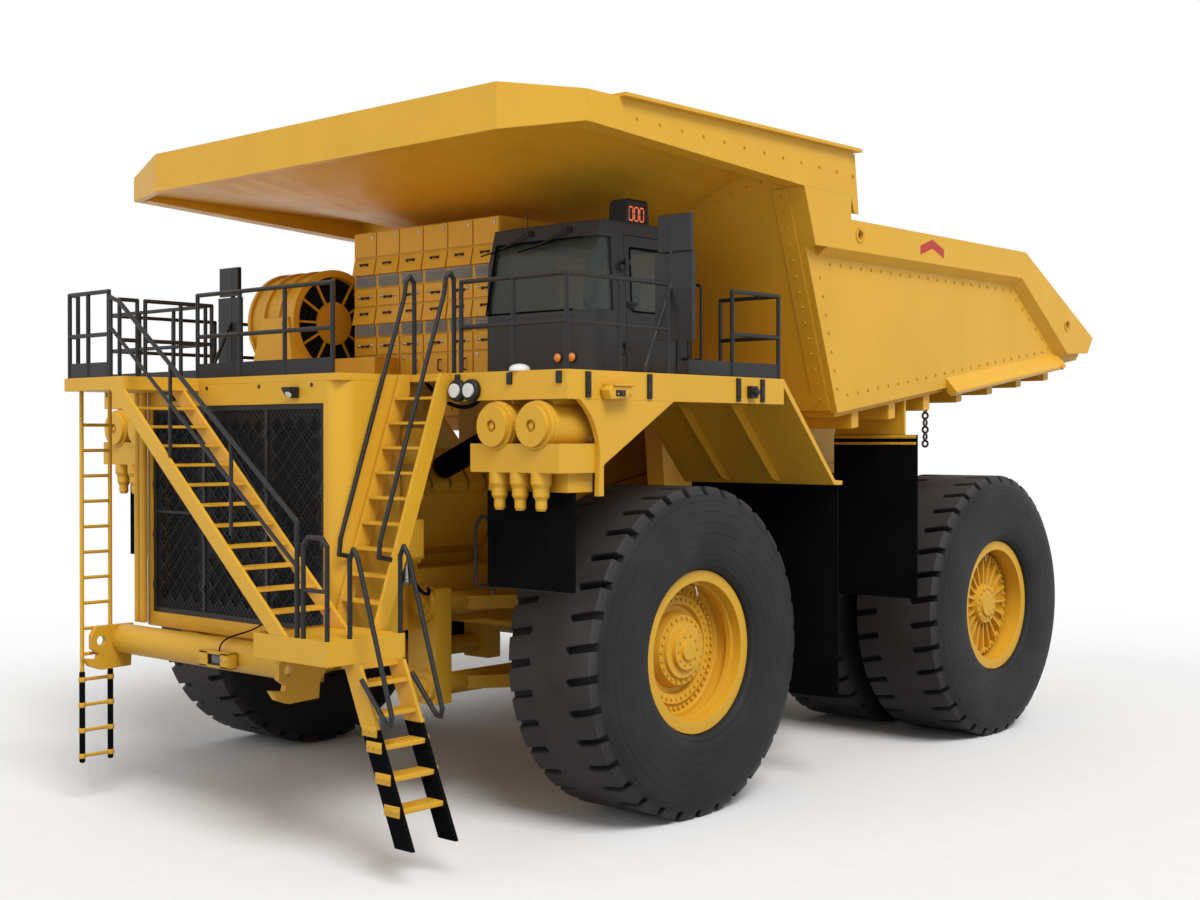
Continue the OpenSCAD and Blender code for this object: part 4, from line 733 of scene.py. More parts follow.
@dataclass
class GrilleMesh:
    """Fine diamond mesh over the grille's bars, and the latches of its panels."""

    face: float = 3.466
    low: float = 2.28
    high: float = 4.62
    pitch: float = 0.052
    wire: float = 0.0045
    panels: tuple[Flat, ...] = ((-1.58, -0.625), (-0.575, 0.575), (0.625, 1.58))
    latch_rows: tuple[float, ...] = (2.55, 3.15, 3.75, 4.35)

    def build(self) -> None:
        """Makes the mesh and the latches."""
        mesh = Shape()
        for start, end in self.panels:
            self.strands(mesh, start, end)
        mesh.piece("grille_mesh", CORE)
        latches = Shape()
        for y in (-1.6, -0.6, 0.6, 1.6):
            for z in self.latch_rows:
                latches.box((3.478, y - 0.028, z - 0.04), (3.496, y + 0.028, z + 0.04), 0.005)
                latches.stud((3.496, y, z), AHEAD, 0.014, 0.016)
        latches.piece("grille_latches", CAB)

    def strands(self, mesh: Shape, start: float, end: float) -> None:
        """Adds the crossing wires of one panel.

        Args:
            mesh: the shape to add to.
            start: one edge of the panel across the truck.
            end: its other edge.
        """
        wide, tall, step = end - start, self.high - self.low, self.pitch * math.sqrt(2.0)
        for k in range(1, int((wide + tall) / step)):
            c = k * step
            u0, u1 = max(0.0, c - tall), min(wide, c)
            for flip in (False, True):
                ends = [at(self.face + 0.004 * flip, start + (wide - u if flip else u), self.low + c - u)
                        for u in (u0, u1)]
                mesh.sweep(ends, self.wire, 4)


@dataclass
class CabinetFittings:
    """Handles, latches and air slots of the control cabinets."""

    face: float = 0.515
    first: float = -1.48
    width: float = 0.46
    columns: int = 6
    tops: tuple[float, ...] = (7.03, 6.69, 6.29, 6.04, 5.64, 5.39)

    def build(self) -> None:
        """Makes the fittings of every column."""
        handles, latches, louvres = Shape(), Shape(), Shape()
        for c in range(self.columns):
            mid = self.first + (c + 0.5) * self.width
            for z, hood in ((6.60, 0.018), (6.16, 0.0), (5.95, 0.018), (5.52, 0.0)):
                self.handle(handles, mid, z, self.face + hood)
            handles.tube([(self.face, mid + 0.1, 5.16), (self.face + 0.05, mid + 0.1, 5.16),
                          (self.face + 0.05, mid + 0.1, 5.3), (self.face, mid + 0.1, 5.3)], 0.010, 0.02, 8)
            for z in (6.18, 5.53):
                for y in (mid - 0.13, mid + 0.13):
                    latches.lathe([(0.026, 0.0), (0.026, 0.006), (0.018, 0.012), (0.008, 0.02)], (self.face, y, z),
                                  AHEAD, 14)
            for y, z in ((mid + 0.15, 6.96), (mid - 0.15, 5.34)):
                latches.box((self.face, y - 0.014, z - 0.03), (self.face + 0.01, y + 0.014, z + 0.03), 0.003)
            for top in (self.tops[1], self.tops[3]):
                self.louvre(louvres, mid, top)
        handles.piece("cabinet_handles", BLACK)
        latches.piece("cabinet_latches", STEEL)
        louvres.piece("cabinet_louvres", GREY)

    def handle(self, shape: Shape, y: float, z: float, face: float) -> None:
        """Adds one bow handle across a door.

        Args:
            shape: the shape to add to.
            y: its middle across the truck.
            z: its height.
            face: how far ahead the door's face lies.
        """
        shape.tube([(face, y - 0.065, z), (face + 0.035, y - 0.05, z), (face + 0.035, y + 0.05, z),
                    (face, y + 0.065, z)], 0.011, 0.02, 8)
        for end in (-0.065, 0.065):
            shape.box((face - 0.004, y + end - 0.02, z - 0.018), (face + 0.008, y + end + 0.02, z + 0.018), 0.003)

    def louvre(self, shape: Shape, y: float, top: float) -> None:
        """Adds the slats of the air slot under one hood.

        Args:
            shape: the shape to add to.
            y: the slot's middle across the truck.
            top: height of the hood's top.
        """
        low, high = top - 0.385, top - 0.235
        shape.box((0.496, y - 0.2, low), (0.504, y + 0.2, high), 0.0)
        for k in range(5):
            z = low + 0.012 + k * 0.028
            shape.prism([(0.503, z), (0.503, z + 0.006), (0.53, z - 0.008), (0.53, z - 0.013)], Axis.Y, y - 0.2,
                        y + 0.2, 0.0)


@dataclass
class CabFittings:
    """Wipers, lamps, seals, handles and roof trim of the cab."""

    front: float = 1.0
    rake: float = 0.22
    sill: float = 5.72
    roof: float = 6.78

    def glass_x(self, z: float) -> float:
        """Gives how far ahead the sloping front face lies at a height."""
        return self.front - self.rake * max(0.0, z - self.sill) / (self.roof - self.sill)

    def build(self) -> None:
        """Makes every fitting."""
        for make in (self.wipers, self.lamps, self.handles, self.seals, self.seat, self.display):
            make()

    def wipers(self) -> None:
        """Makes the two wipers on the header, each with its motor, arm and blade."""
        arms, blades = Shape(), Shape()
        for y in (2.10, 2.72):
            z = 6.70
            x = self.glass_x(z)
            arms.lathe([(0.035, 0.0), (0.035, 0.025), (0.022, 0.035), (0.018, 0.06)], (x, y, z), (1, 0, 0.2), 16)
            tip = (self.glass_x(6.55) + 0.03, y - 0.44, 6.55)
            arms.tube([(x + 0.05, y, z + 0.01), (x + 0.06, y - 0.12, 6.67), tip], 0.009, 0.05, 8)
            arms.tube([(x + 0.05, y, z - 0.03), tip], 0.006, 0.0, 6)
            blades.tube([(self.glass_x(6.60) + 0.02, y - 0.12, 6.60), (tip[0] - 0.008, tip[1], tip[2] - 0.006),
                         (self.glass_x(6.49) + 0.02, y - 0.78, 6.49)], 0.010, 0.0, 6)
        arms.piece("wiper_arms", BLACK)
        blades.piece("wiper_blades", FLAP)

    def lamps(self) -> None:
        """Makes the two amber lamps low at the front, with their rims."""
        lenses, rims = Shape(), Shape()
        for x, y in ((1.0, 2.73), (0.998, 2.95)):
            rims.lathe([(0.062, 0.0), (0.062, 0.014), (0.05, 0.018)], (x, y, 5.22), AHEAD, 24)
            lenses.lathe([(0.05, 0.004), (0.05, 0.022), (0.04, 0.034), (0.015, 0.040)], (x, y, 5.22), AHEAD, 24)
        lenses.piece("amber_lamps", AMBER)
        rims.piece("amber_lamp_rims", BLACK)

    def handles(self) -> None:
        """Makes the door handle, the grab rails at the cab's rear edge and the roof gutter."""
        door = Shape().box((0.22, 3.218, 5.80), (0.36, 3.232, 5.87), 0.004)
        door.tube([(0.24, 3.228, 5.845), (0.25, 3.262, 5.845), (0.34, 3.262, 5.835)], 0.011, 0.02, 8)
        door.lathe([(0.018, 0.0), (0.018, 0.012), (0.01, 0.016)], (0.33, 3.23, 5.82), LEFT, 12)
        door.piece("door_handle", BLACK, Body.DOOR)
        rails = Shape()
        for x in (-0.90, -0.66):
            rails.tube([(x, 3.21, 5.25), (x, 3.30, 5.25), (x, 3.30, 6.15), (x, 3.19, 6.15)], 0.018, 0.06)
        rails.piece("cab_grab_rails", BLACK)
        trim = Shape()
        for y in (1.50, 3.13):
            trim.box((-0.92, y - 0.015, 6.776), (0.70, y + 0.015, 6.80), 0.006)
        trim.box((0.70, 1.66, 6.776), (0.735, 2.98, 6.796), 0.006)
        trim.box((-0.75, 1.75, 6.778), (-0.05, 2.45, 6.86), 0.02)
        trim.box((-0.70, 1.80, 6.858), (-0.10, 2.40, 6.872), 0.006)
        trim.piece("cab_roof_trim", CAB)
        whip = Shape().lathe([(0.03, 0.0), (0.03, 0.03), (0.012, 0.05)], (0.45, 1.70, 6.78), UP, 14)
        whip.tube([(0.45, 1.70, 6.82), (0.45, 1.70, 7.05)], 0.005, 0.0, 6)
        whip.piece("cab_aerial", BLACK)

    def seals(self) -> None:
        """Makes the rubber beads along the windshield and the door's window."""
        beads = Shape()
        for z in (5.762, 6.598):
            x = self.glass_x(z) + 0.002
            beads.tube([(x, 1.56, z), (x, 2.94, z)], 0.011, 0.0, 8)
        beads.tube([(self.glass_x(z) + 0.002, 1.545, z) for z in (5.765, 6.595)], 0.011, 0.0, 8)
        beads.piece("windshield_seal", FLAP)
        around = [(-0.425, 5.765), (0.285, 5.765), (0.285, 6.505), (-0.425, 6.505), (-0.425, 5.765)]
        door = Shape().tube([(x, self.side_y(z) + 0.002, z) for x, z in around], 0.010, 0.05, 8)
        door.piece("door_window_seal", FLAP, Body.DOOR)

    def side_y(self, z: float) -> float:
        """Gives how far out the cab's left wall lies at a height."""
        return 3.22 - 0.06 * max(0.0, z - self.sill) / (self.roof - self.sill)

    def seat(self) -> None:
        """Makes the padded seat cushion and back over the seat's frame."""
        mid = 2.47
        for name, low, high in (("seat_cushion", (-0.395, mid - 0.285, 5.40), (0.235, mid + 0.285, 5.575)),
                                ("seat_back", (-0.452, mid - 0.275, 5.56), (-0.245, mid + 0.275, 6.16))):
            pad = Shape().box(low, high, 0.05)
            bmesh.ops.subdivide_edges(pad.bm, edges=pad.bm.edges[:], cuts=2, use_grid_fill=True)
            centre = (at(*low) + at(*high)) / 2
            for vert in pad.bm.verts:
                away = vert.co - centre
                vert.co += Vector((away.x, 0, away.z)) * 0.05 * math.cos(min(1.5, abs(away.y) * 4.5))
            made = pad.piece(name, SEAT)

    def display(self) -> None:
        """Makes the roof display's lit digits and fins, and the bumper display's screen and case."""
        strokes = [(0.012, 0.072, 7.010, 7.026), (0.012, 0.072, 6.854, 6.870)]
        strokes += [(x, x + 0.012, *z) for x in (0.0, 0.072) for z in ((6.872, 6.936), (6.944, 7.008))]
        digits, fins = Shape(), Shape()
        for left in (-0.205 + k * 0.098 for k in range(3)):
            for x0, x1, z0, z1 in strokes:
                digits.box((left + x0, 2.983, z0), (left + x1, 2.990, z1), 0.003)
        digits.piece("roof_digits", DIGITS)
        for x in (-0.24 + k * 0.0425 for k in range(9)):
            fins.box((x, 2.76, 7.088), (x + 0.012, 2.99, 7.112), 0.003)
        fins.piece("roof_display_fins", BLACK)
        screen = Shape().box((4.068, 0.382, 1.852), (4.072, 0.598, 1.938), 0.001)
        screen.piece("bumper_screen", SCREEN)
        case = Shape().border((4.08, 4.10), (0.225, 0.755), (1.815, 1.975), 0.020, 0.145)
        case.border((3.985, 4.09), (0.215, 0.765), (1.806, 1.984), 0.016, 0.017)
        case.studs([(4.10, y, 1.895) for y in (0.26, 0.34, 0.64, 0.72)], AHEAD, 0.009, 0.01)
        case.piece("bumper_screen_case", YELLOW)


@dataclass
class BedFittings:
    """Bolts, lamp, mark and edge rings of the bed."""

    foot: Flat = (-2.80, 4.66)
    lean: float = math.radians(19.2)
    proud: float = 0.105
    plate: float = 0.090
    rise: float = 1000 / 7100
    arch_low: float = 6.78
    arch_rise: float = 0.70
    arch_flat: float = 0.9
    arch_run: float = 3.05
    wall_bolt: Flat = (0.019, 0.02)
    side_bolt: Flat = (0.017, 0.016)

    def floor_z(self, x: float) -> float:
        """Gives the floor's height at a place along the truck."""
        return self.foot[1] + (self.foot[0] - x) * self.rise

    def wall(self, y: float, up: float) -> tuple[Point, Point]:
        """Gives a place on the front wall's strips and the direction out of it.

        Args:
            y: place across the truck.
            up: distance up the wall's slope.

        Returns:
            The place and the direction.
        """
        s, c = math.sin(self.lean), math.cos(self.lean)
        return (self.foot[0] + s * up + c * self.proud, y, self.foot[1] + c * up - s * self.proud), (c, 0.0, -s)

    def build(self) -> None:
        """Makes every fitting."""
        bolts = Shape()
        for y, up in [(3.84, 0.18 + 0.2 * k) for k in range(14)] + [(0.13 + 0.26 * k, 0.14) for k in range(15)]:
            spot, out = self.wall(y, up)
            bolts.stud(spot, out, *self.wall_bolt)
        for line in (((-2.55, 6.48), (-7.35, 6.48), 20), ((-7.5, 6.36), (-8.55, 5.68), 5),
                     ((-2.72, 4.93), (-2.33, 6.3), 6), ((-2.95, 4.86), (-8.35, 5.62), 22)):
            self.row(bolts, *line)
        self.arch(bolts)
        bolts.mirrored().piece("bed_bolts", YELLOW, Body.BED)
        bead = Shape().tube([(self.foot[0] + 0.005, y, self.foot[1] + 0.015) for y in (-3.945, 3.945)], 0.022)
        bead.piece("bed_seam", YELLOW, Body.BED)
        self.edges()
        self.marks()
        self.strips()

    def arch(self, bolts: Shape) -> None:
        """Adds the row of bolts on the front wall below the canopy's arch.

        Args:
            bolts: the shape to add to.
        """
        s, c = math.sin(self.lean), math.cos(self.lean)
        for y in (0.22 + 0.24 * k for k in range(15)):
            rise = (1 - math.cos(math.pi * max(0.0, y - self.arch_flat) / self.arch_run)) / 2
            z = self.arch_low + self.arch_rise * rise
            face = self.foot[0] + (z - self.foot[1]) * s / c + self.plate / c
            bolts.stud((face, y, z), (c, 0.0, -s), *self.wall_bolt)

    def strips(self) -> None:
        """Makes the clamping strips across the flaps before the rear wheels."""
        strips = Shape()
        for low, high in ((4.215, 4.25), (4.30, 4.345)):
            strips.box((-4.472, 2.86, low), (-4.455, 4.15, high))
            strips.studs([(-4.455, 2.94 + k * 0.163, (low + high) / 2) for k in range(8)], AHEAD, 0.011, 0.010)
        strips.mirrored().piece("bed_flap_strips", YELLOW, Body.BED)

    def row(self, bolts: Shape, start: Flat, end: Flat, count: int) -> None:
        """Adds a row of bolts on the side panel.

        Args:
            bolts: the shape to add to.
            start: the first bolt's place along the truck and height.
            end: the last bolt's.
            count: spaces between them.
        """
        for f in (k / count for k in range(count + 1)):
            spot = (start[0] + (end[0] - start[0]) * f, 4.05, start[1] + (end[1] - start[1]) * f)
            bolts.stud(spot, LEFT, *self.side_bolt)

    def edges(self) -> None:
        """Makes the wear rings round the lifting bores and the canopy's edge bolts."""
        rings, sides, bore, rim = Shape(), 24, 0.060, 0.095
        for x, z in ((-3.0, 6.87), (-8.89, self.floor_z(-8.89) + 0.53)):
            for a, b in ((math.tau * k / sides, math.tau * (k + 1) / sides) for k in range(sides)):
                corners = ((bore, a), (rim, a), (rim, b), (bore, b))
                rings.prism([(x + r * math.cos(t), z + r * math.sin(t)) for r, t in corners], Axis.Y, 4.199, 4.212, 0.0)
        bmesh.ops.remove_doubles(rings.bm, verts=rings.bm.verts[:], dist=0.0005)
        for f in (k / 11 for k in range(12)):
            rings.stud((-2.85 + 4.2 * f, BED_EDGE, 7.60 + 0.09 * f), LEFT, *self.side_bolt)
        rings.mirrored().piece("bed_rings", YELLOW, Body.BED)

    def marks(self) -> None:
        """Makes the red chevron on the left rail and the amber tail lamps."""
        mark, mid = Shape(), -4.80
        for tip in (mid + 0.31, mid - 0.31):
            corners = [(mid, 6.985), (mid, 6.865), (tip, 6.755), (tip, 6.875)]
            mark.prism(corners, Axis.Y, BED_EDGE, 4.2025, 0.0)
        mark.piece("red_chevron", RED, Body.BED)
        profile = [(0.042, 0.0), (0.042, 0.012), (0.034, 0.026), (0.012, 0.032)]
        lamp = Shape().lathe(profile, (-8.72, BED_EDGE, 5.395), LEFT, 20)
        lamp.mirrored().piece("tail_lamps", AMBER, Body.BED)


@dataclass
class LadderFittings:
    """Steps, clamps and sleeves of the flexible ladders."""

    left: float = 3.56
    right: float = 4.16
    head: Flat = (3.03, 2.085)
    slope: float = (3.80 - 3.03) / (2.085 - 0.38)
    clamp: float = 0.012

    def edge(self, z: float) -> float:
        """Gives how far out the ladder's sides reach at a height."""
        return self.head[0] + (self.head[1] - z) * self.slope

    def bars(self, steps: Shape, z: float, foot: float, top: float) -> None:
        """Adds the grip bars on one step.

        Args:
            steps: the shape to add to.
            z: height of the step's middle.
            foot: the bars' foot above it.
            top: the bars' top above it.
        """
        y = self.edge(z)
        for x in (self.left + 0.08 + k * 0.055 for k in range(9)):
            steps.box((x, y - 0.22, z + foot), (x + 0.012, y - 0.03, z + top), 0.002)

    def build(self) -> None:
        """Makes the step plates, clamps and sleeves."""
        steps, inset = Shape(), 0.041
        for z in (1.31, 1.02, 0.73):
            y = self.edge(z)
            steps.box((self.left + inset, y - 0.235, z - 0.026), (self.right - inset, y - 0.015, z + 0.026), 0.006)
            self.bars(steps, z, 0.024, 0.034)
        for z in (1.60, 1.89):
            self.bars(steps, z, 0.018, 0.030)
        for z in (1.46, 1.31, 1.02, 0.73):
            y = self.edge(z)
            for face, out in ((self.right, 1), (self.left, -1)):
                near, far = sorted((face, face + out * self.clamp))
                steps.box((near, y - 0.235, z - 0.055), (far, y - 0.015, z + 0.055))
                bolts = [(face + out * self.clamp, y + dy, z) for dy in (-0.2, -0.125, -0.05)]
                steps.studs(bolts, (out, 0, 0), 0.013, 0.014)
        steps.piece("ladder_steps", YELLOW)
        sleeves, collars = Shape(), Shape()
        for x in (3.93, 4.30):
            sleeves.lathe([(0.027, 0.0), (0.034, 0.01), (0.034, 1.06), (0.027, 1.07)], (x, -1.87, 0.485), UP, 16)
            for z in (0.53, 0.83, 1.13, 1.43):
                collars.lathe([(0.036, 0.0), (0.044, 0.008), (0.044, 0.052), (0.036, 0.06)], (x, -1.87, z), UP, 18)
        sleeves.piece("ladder_sleeves", FLAP)
        collars.piece("ladder_collars", YELLOW)


@dataclass
class DeckFittings:
    """Small things along the deck: camera box, dome, lamps, brackets, grating and grid bank."""

    def build(self) -> None:
        """Makes every fitting."""
        for make in (self.camera, self.brackets, self.lamps, self.grid, self.mirrors, self.plates):
            make()

    def camera(self) -> None:
        """Makes the yellow camera box on the left deck edge and the white dome beside it."""
        case = Shape().prism([(1.70, 4.73), (2.02, 4.70), (2.06, 4.80), (1.98, 4.86), (1.70, 4.86)], Axis.Y, 4.31, 4.43,
                             0.008)
        case.box((1.66, 4.301, 4.84), (2.0, 4.45, 4.862), 0.004)
        case.studs([(x, 4.43, 4.76) for x in (1.72, 1.92)], LEFT, 0.012, 0.012)
        case.piece("deck_camera_case", YELLOW)
        lens = Shape().box((1.80, 4.428, 4.735), (1.95, 4.436, 4.80), 0.004)
        lens.lathe([(0.03, 0.0), (0.03, 0.01), (0.018, 0.016)], (1.875, 4.434, 4.768), LEFT, 18)
        lens.piece("deck_camera_window", BLACK)
        dome = Shape().lathe([(0.11, 0.0), (0.11, 0.025), (0.095, 0.05), (0.06, 0.068), (0.02, 0.075)],
                             (2.47, 3.56, 5.0), UP, 28)
        dome.piece("deck_dome", WHITE)

    def brackets(self) -> None:
        """Makes the black rail sockets on the deck's edges."""
        sockets = Shape()
        for x in (2.24, 1.27, -0.30, -0.76):
            sockets.box((x - 0.035, 4.300, 4.72), (x + 0.035, 4.325, 4.985), 0.005)
            sockets.studs([(x, 4.325, z) for z in (4.77, 4.93)], LEFT, 0.012, 0.012)
        sockets.mirrored()
        for y in (2.72, 3.5, 4.2, -2.7, -3.5, -4.2):
            sockets.box((2.550, y - 0.035, 4.86), (2.572, y + 0.035, 4.985), 0.005)
        sockets.piece("rail_sockets", BLACK)
        box = Shape().box((-0.60, 4.302, 4.76), (-0.47, 4.37, 4.90), 0.01)
        box.lathe([(0.045, 0.0), (0.045, 0.03), (0.03, 0.05)], (-0.535, 4.37, 4.83), LEFT, 18)
        box.piece("deck_junction_box", BLACK)

    def lamps(self) -> None:
        """Makes the headlamp rims and the hooded work lamps on the housing's band."""
        rims = Shape()
        for y in (2.735, 2.95):
            rims.lathe([(0.118, 0.0), (0.118, 0.05), (0.108, 0.062), (0.097, 0.062)], (2.551, y, 4.81), AHEAD, 32)
        rims.mirrored().piece("headlamp_rims", BLACK)
        hoods, lenses = Shape(), Shape()
        for y in (-1.15, 1.15):
            hoods.prism([(3.50, 4.74), (3.50, 4.86), (3.63, 4.86), (3.63, 4.83), (3.57, 4.76)], Axis.Y, y - 0.075,
                        y + 0.075, 0.008)
            lenses.lathe([(0.05, 0.0), (0.05, 0.012), (0.03, 0.02)], (3.585, y, 4.795), (1, 0, -0.35), 24)
        hoods.piece("work_lamp_hoods", BLACK)
        lenses.piece("work_lamp_lenses", CLEAR)
        holes = Shape()
        for y in (-1.5, -0.5, 0.5, 1.44):
            holes.lathe([(0.024, 0.0), (0.024, 0.004), (0.012, 0.006)], (3.5, y, 4.88), AHEAD, 16)
        holes.piece("housing_plugs", BLACK)

    def grid(self) -> None:
        """Makes the black resistor bank inside the retarder drum, with a black disc behind it as painted shade deep in
        the drum, and a thin black sheet in the shroud's slot as painted shade.
        """
        bank_and_shade_disc, x, z = Shape(), 0.6, 5.85
        for turn in (math.tau * k / 60 for k in range(60)):
            c, s = math.cos(turn), math.sin(turn)
            bank_and_shade_disc.sweep([at(x + r * c, -1.90, z + r * s) for r in (0.30, 0.61)], 0.014, 4)
        turns = [math.tau * k / 48 for k in range(49)]
        for r in (0.36, 0.45, 0.54, 0.605):
            bank_and_shade_disc.sweep([at(x + r * math.cos(t), -1.865, z + r * math.sin(t)) for t in turns], 0.010, 6)
        # painted shade: a closed black disc behind the slats stands in for the shade deep inside the drum
        bank_and_shade_disc.lathe([(0.615, 0.0), (0.615, 0.02), (0.61, 0.022)], (x, -1.99, z), LEFT, 48)
        bank_and_shade_disc.piece("resistor_bank_and_shade_disc", CORE)
        # painted shade: a thin black sheet fills the shroud's slot where the opening lies in shade
        slot = Shape().prism([(-1.90, 5.42), (-1.84, 5.42), (-1.90, 5.84), (-1.94, 5.84)], Axis.X, 1.351, 1.356, 0.0)
        slot.piece("shroud_slot_shade", CORE)

    def mirrors(self) -> None:
        """Makes the mirror glasses on the panels' rear faces, with their rims."""
        glass, rims = Shape(), Shape()
        for low, high in (((0.578, 3.90, 5.42), (0.588, 4.36, 6.29)), ((0.578, 3.94, 6.39), (0.588, 4.33, 6.73))):
            glass.box((low[0], low[1] + 0.02, low[2] + 0.02), (high[0], high[1] - 0.02, high[2] - 0.02), 0.004)
            corners = [(0.584, y, z) for y, z in ((low[1], low[2]), (high[1], low[2]), (high[1], high[2]),
                                                  (low[1], high[2]), (low[1], low[2]))]
            rims.tube(corners, 0.012, 0.05, 8)
        glass.mirrored().piece("mirror_glass", CHROME)
        rims.mirrored().piece("mirror_rims", FLAP)

    def plates(self) -> None:
        """Makes the raised tread on the deck's walkways and the kick plate behind the cab."""
        tread, pitch, half, thin, top = Shape(), 0.12, 0.04, 0.006, DECK_Z + 0.004
        for low, high in (((1.15, 3.30), (2.40, 4.15)), ((-1.05, 3.40), (1.05, 4.15)), ((1.2, 2.0), (2.4, 3.2)),
                          ((2.0, -1.7), (3.35, 1.7)), ((1.5, -4.1), (2.4, -2.0)), ((-1.05, -4.1), (1.4, -3.0))):
            along, across = (int((high[i] - low[i]) / pitch) for i in (0, 1))
            for i in range(along):
                for k in range(across):
                    x, y = low[0] + 0.06 + i * pitch, low[1] + 0.06 + k * pitch
                    turn = 0.035 if (i + k) % 2 else -0.035
                    corners = [(x - half, y - turn - thin), (x + half, y + turn - thin), (x + half, y + turn + thin),
                               (x - half, y - turn + thin)]
                    tread.prism(corners, Axis.Z, DECK_Z, top, 0.0)
        tread.piece("deck_tread", YELLOW)
        Shape().box((-0.238, 4.245, DECK_Z), (0.55, 4.265, 5.17), 0.003).piece("deck_kick", BLACK)


@dataclass
class BayFittings:
    """Hoses, tubes and accumulators of the engine bay and suspension."""

    hoses: tuple[tuple[str, float, Point, Point, Point, Point], ...] = (
        ("bay_hose_upper", 0.050, (2.42, 1.50, 3.70), (2.38, 1.75, 3.10), (2.05, 1.35, 2.95), (1.90, 0.56, 3.30)),
        ("bay_hose_lower", 0.040, (2.30, 1.62, 2.90), (2.30, 1.75, 2.55), (1.90, 1.60, 2.45), (1.70, 1.30, 2.55)),
        ("deck_hose", 0.045, (2.46, 3.05, 4.915), (2.46, 3.05, 4.60), (2.40, 2.50, 4.50), (2.40, 2.05, 4.915)),
        ("screen_cable", 0.018, (4.03, 0.50, 1.97), (4.03, 0.50, 2.20), (3.70, 0.55, 2.10), (3.475, 0.55, 2.25)))

    def build(self) -> None:
        """Makes every piece."""
        for hose in self.hoses:
            self.hose(*hose)
        loop = Shape().tube([(2.20, 3.20, 2.72), (2.20, 2.62, 2.70), (2.20, 2.62, 3.35), (2.20, 2.74, 3.50),
                             (2.20, 2.84, 3.35), (2.20, 2.90, 2.70), (2.20, 2.90, 2.62)], 0.020, 0.10)
        loop.tube([(2.20, 3.20, 2.72), (2.20, 4.10, 2.72)], 0.020)
        loop.mirrored().piece("flap_frames", BLACK)
        tanks = Shape()
        for x in (2.30, 2.42):
            tanks.lathe([(0.05, 0.0), (0.05, 0.02), (0.042, 0.03), (0.042, 0.20), (0.03, 0.23), (0.012, 0.25)],
                        (x, 1.60, 2.69), UP, 20)
        tanks.box((2.22, 1.50, 2.66), (2.50, 1.66, 2.69), 0.004)
        tanks.mirrored().piece("bay_accumulators", STEEL)
        self.ducts()
        self.boxes()

    def ducts(self) -> None:
        """Makes the black intake ducts from the air cleaners to the engine, with their clamps."""
        ducts, clamps, z = Shape(), Shape(), 4.43
        profile = [(0.148, 0.0), (0.156, 0.004), (0.156, 0.026), (0.148, 0.03)]
        for y in (3.33, 3.90):
            ducts.tube([(1.96, y, z), (1.55, y, z), (1.30, y - 0.5, z), (1.20, 2.1, 4.40), (1.0, 0.80, 3.95)],
                       0.145, 0.35, 20)
            for x in (1.93, 1.62):
                clamps.lathe(profile, (x, y, z), (-1, 0, 0), 28)
        ducts.mirrored().piece("intake_ducts", FLAP)
        clamps.mirrored().piece("duct_clamps", STEEL)

    def boxes(self) -> None:
        """Makes the control boxes on the bay's posts, with lids and bolts."""
        boxes = Shape()
        for low, high in ((2.96, 3.40), (3.62, 3.90), (4.02, 4.42)):
            boxes.box((2.28, 1.60, low), (2.60, 1.88, high), 0.012)
            boxes.box((2.30, 1.878, low + 0.02), (2.58, 1.892, high - 0.02), 0.005)
            boxes.box((2.598, 1.63, low + 0.02), (2.612, 1.86, high - 0.02), 0.005)
            corners = [(x, 1.892, z) for z in (low + 0.05, high - 0.05) for x in (2.33, 2.55)]
            boxes.studs(corners, LEFT, 0.010, 0.010)
        boxes.mirrored().piece("bay_boxes", YELLOW)

    def hose(self, name: str, wide: float, start: Point, out: Point, back: Point, end: Point) -> None:
        """Makes one hose that leaves the truck and goes back into it.

        Args:
            name: the piece's name.
            wide: its diameter.
            start: where it leaves.
            out: the pull of its first half.
            back: the pull of its second half.
            end: where it goes back in.
        """
        a, b, c, d = at(*start), at(*out), at(*back), at(*end)
        path = [a * (1 - t) ** 3 + b * 3 * t * (1 - t) ** 2 + c * 3 * t * t * (1 - t) + d * t ** 3
                for t in (k / 32 for k in range(33))]
        made = Shape().sweep(path, wide / 2, 12).piece(name, FLAP)


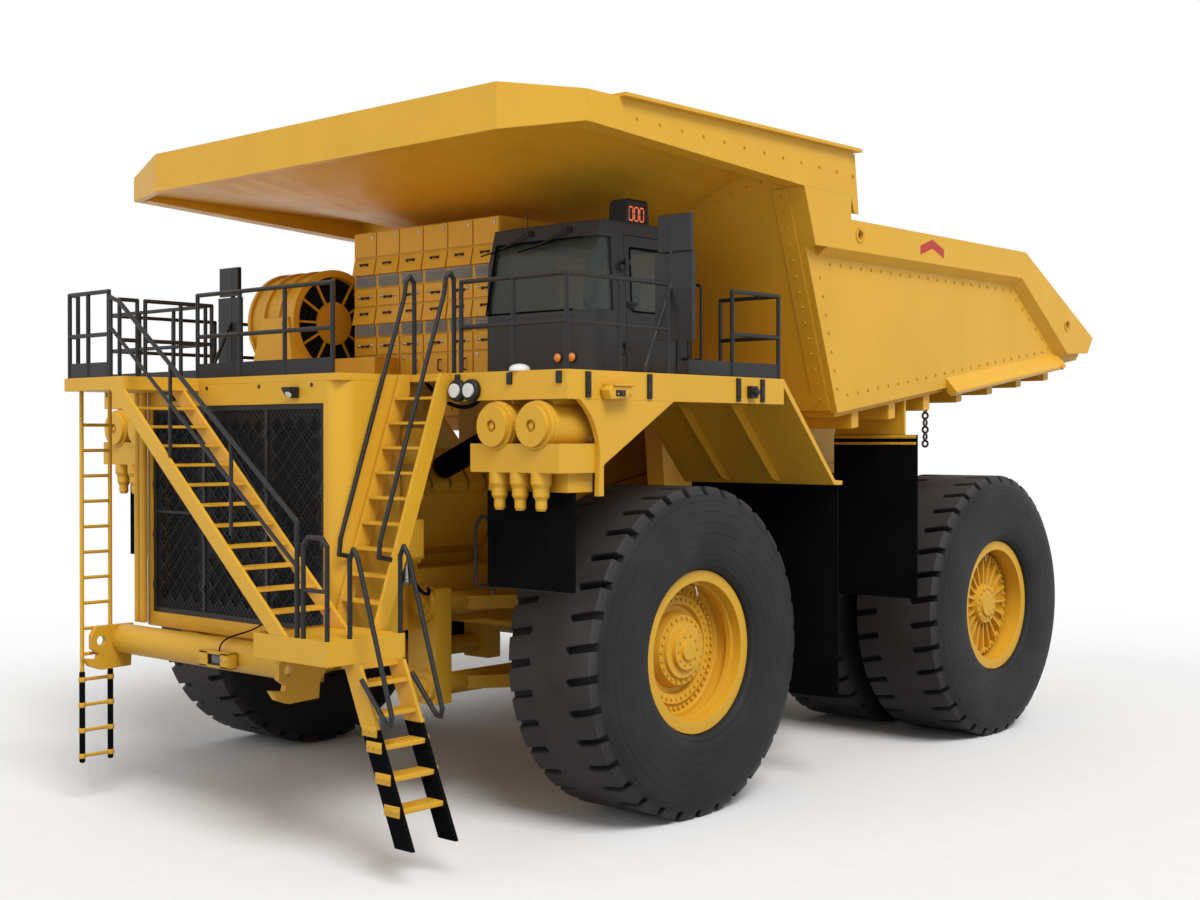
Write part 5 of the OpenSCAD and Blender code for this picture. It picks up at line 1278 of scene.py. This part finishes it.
@dataclass
class Studio:
    """Pale floor, soft light and a white surround."""

    floor_radius: float = 120.0
    keep_radius: float = 13.0
    fade: float = 9.0
    ambient: float = 0.44
    bounce: float = 0.30
    key_strength: float = 2.2
    key_from: Point = (0.45, 1.0, 1.25)
    fill_strength: float = 0.45
    fill_from: Point = (1.0, -0.25, 0.45)

    def build(self) -> None:
        """Makes floor, world and lamps."""
        self.floor()
        self.world()
        self.lamp("key", self.key_from, self.key_strength, 0.5)
        self.lamp("fill", self.fill_from, self.fill_strength, 0.9)

    def floor(self) -> None:
        """Makes the round floor, which fades into the surround away from the truck."""
        mesh = bpy.data.meshes.new("floor")
        bm = bmesh.new()
        bmesh.ops.create_circle(bm, cap_ends=True, segments=96, radius=self.floor_radius)
        bm.to_mesh(mesh)
        bm.free()
        floor = bpy.data.objects.new("floor", mesh)
        floor.location.z = -0.002
        bpy.context.scene.collection.objects.link(floor)
        tree = NodeTree(bpy.data.materials.new("pale_floor"))
        speck = tree.span(tree.noise(3.0, 4.0), 0.0, 1.0)
        ground = tree.add("BsdfDiffuse", tree.mix(speck, (0.93, 0.93, 0.93), (0.95, 0.95, 0.95)))
        dim = tree.add("BsdfDiffuse", (self.bounce, self.bounce, self.bounce))
        lit = tree.add("MixShader", tree.seen(), dim.outputs[0], ground.outputs[0])
        away = tree.span(tree.length(tree.place()), 0.0, 1.0, self.keep_radius, self.keep_radius + self.fade)
        white = tree.add("Emission", Strength=1.0)
        tree.end(tree.add("MixShader", away, lit.outputs[0], white.outputs[0]))
        mesh.materials.append(tree.owner)

    def world(self) -> None:
        """Makes the surround: white to the camera and in reflections, softer as light."""
        world = bpy.data.worlds.new("surround")
        tree = NodeTree(world, "OutputWorld")
        soft, white = (tree.add("Background", (1.0, 1.0, 1.0), strength) for strength in (self.ambient, 1.0))
        tree.end(tree.add("MixShader", tree.seen(), soft.outputs[0], white.outputs[0]))
        bpy.context.scene.world = world

    def lamp(self, name: str, source: Point, strength: float, spread: float) -> None:
        """Adds a broad distant lamp.

        Args:
            name: the lamp's name.
            source: direction that the light comes from.
            strength: light level.
            spread: angle of its disc in radians.
        """
        data = bpy.data.lights.new(name, "SUN")
        data.energy = strength
        data.angle = spread
        lamp = bpy.data.objects.new(name, data)
        lamp.rotation_euler = Vector(source).to_track_quat("Z", "Y").to_euler()
        bpy.context.scene.collection.objects.link(lamp)


@dataclass
class PhotoCamera:
    """The camera at the photograph's place."""

    eye: Point = (16.753, 15.049, 4.311)
    heading: float = 41.739
    tilt: float = -0.448
    focal_px: float = 1578.2
    width_px: float = 1200.0
    sensor: float = 36.0

    def build(self) -> None:
        """Makes the camera and sets it as the scene's."""
        data = bpy.data.cameras.new("photo_camera")
        data.sensor_width = self.sensor
        data.lens = self.sensor * self.focal_px / self.width_px
        data.clip_end = 400.0
        camera = bpy.data.objects.new("photo_camera", data)
        camera.location = self.eye
        turn, dip = math.radians(self.heading), math.radians(self.tilt)
        look = Vector((-math.cos(turn) * math.cos(dip), -math.sin(turn) * math.cos(dip), math.sin(dip)))
        camera.rotation_euler = look.to_track_quat("-Z", "Y").to_euler()
        bpy.context.scene.collection.objects.link(camera)
        bpy.context.scene.camera = camera


def main() -> None:
    """Builds the scene in order and reports each piece."""
    logging.basicConfig(level=logging.INFO, format="%(name)s %(message)s")
    bpy.context.scene.view_settings.view_transform = "Standard"
    PhotoCamera().build()
    BayFittings().build()
    FrameFinishes().dress()
    for part in (Wheels(), GrilleMesh(), CabinetFittings(), CabFittings(), BedFittings(), LadderFittings(),
                 DeckFittings()):
        part.build()
    Studio().build()


if __name__ == "__main__":
    main()
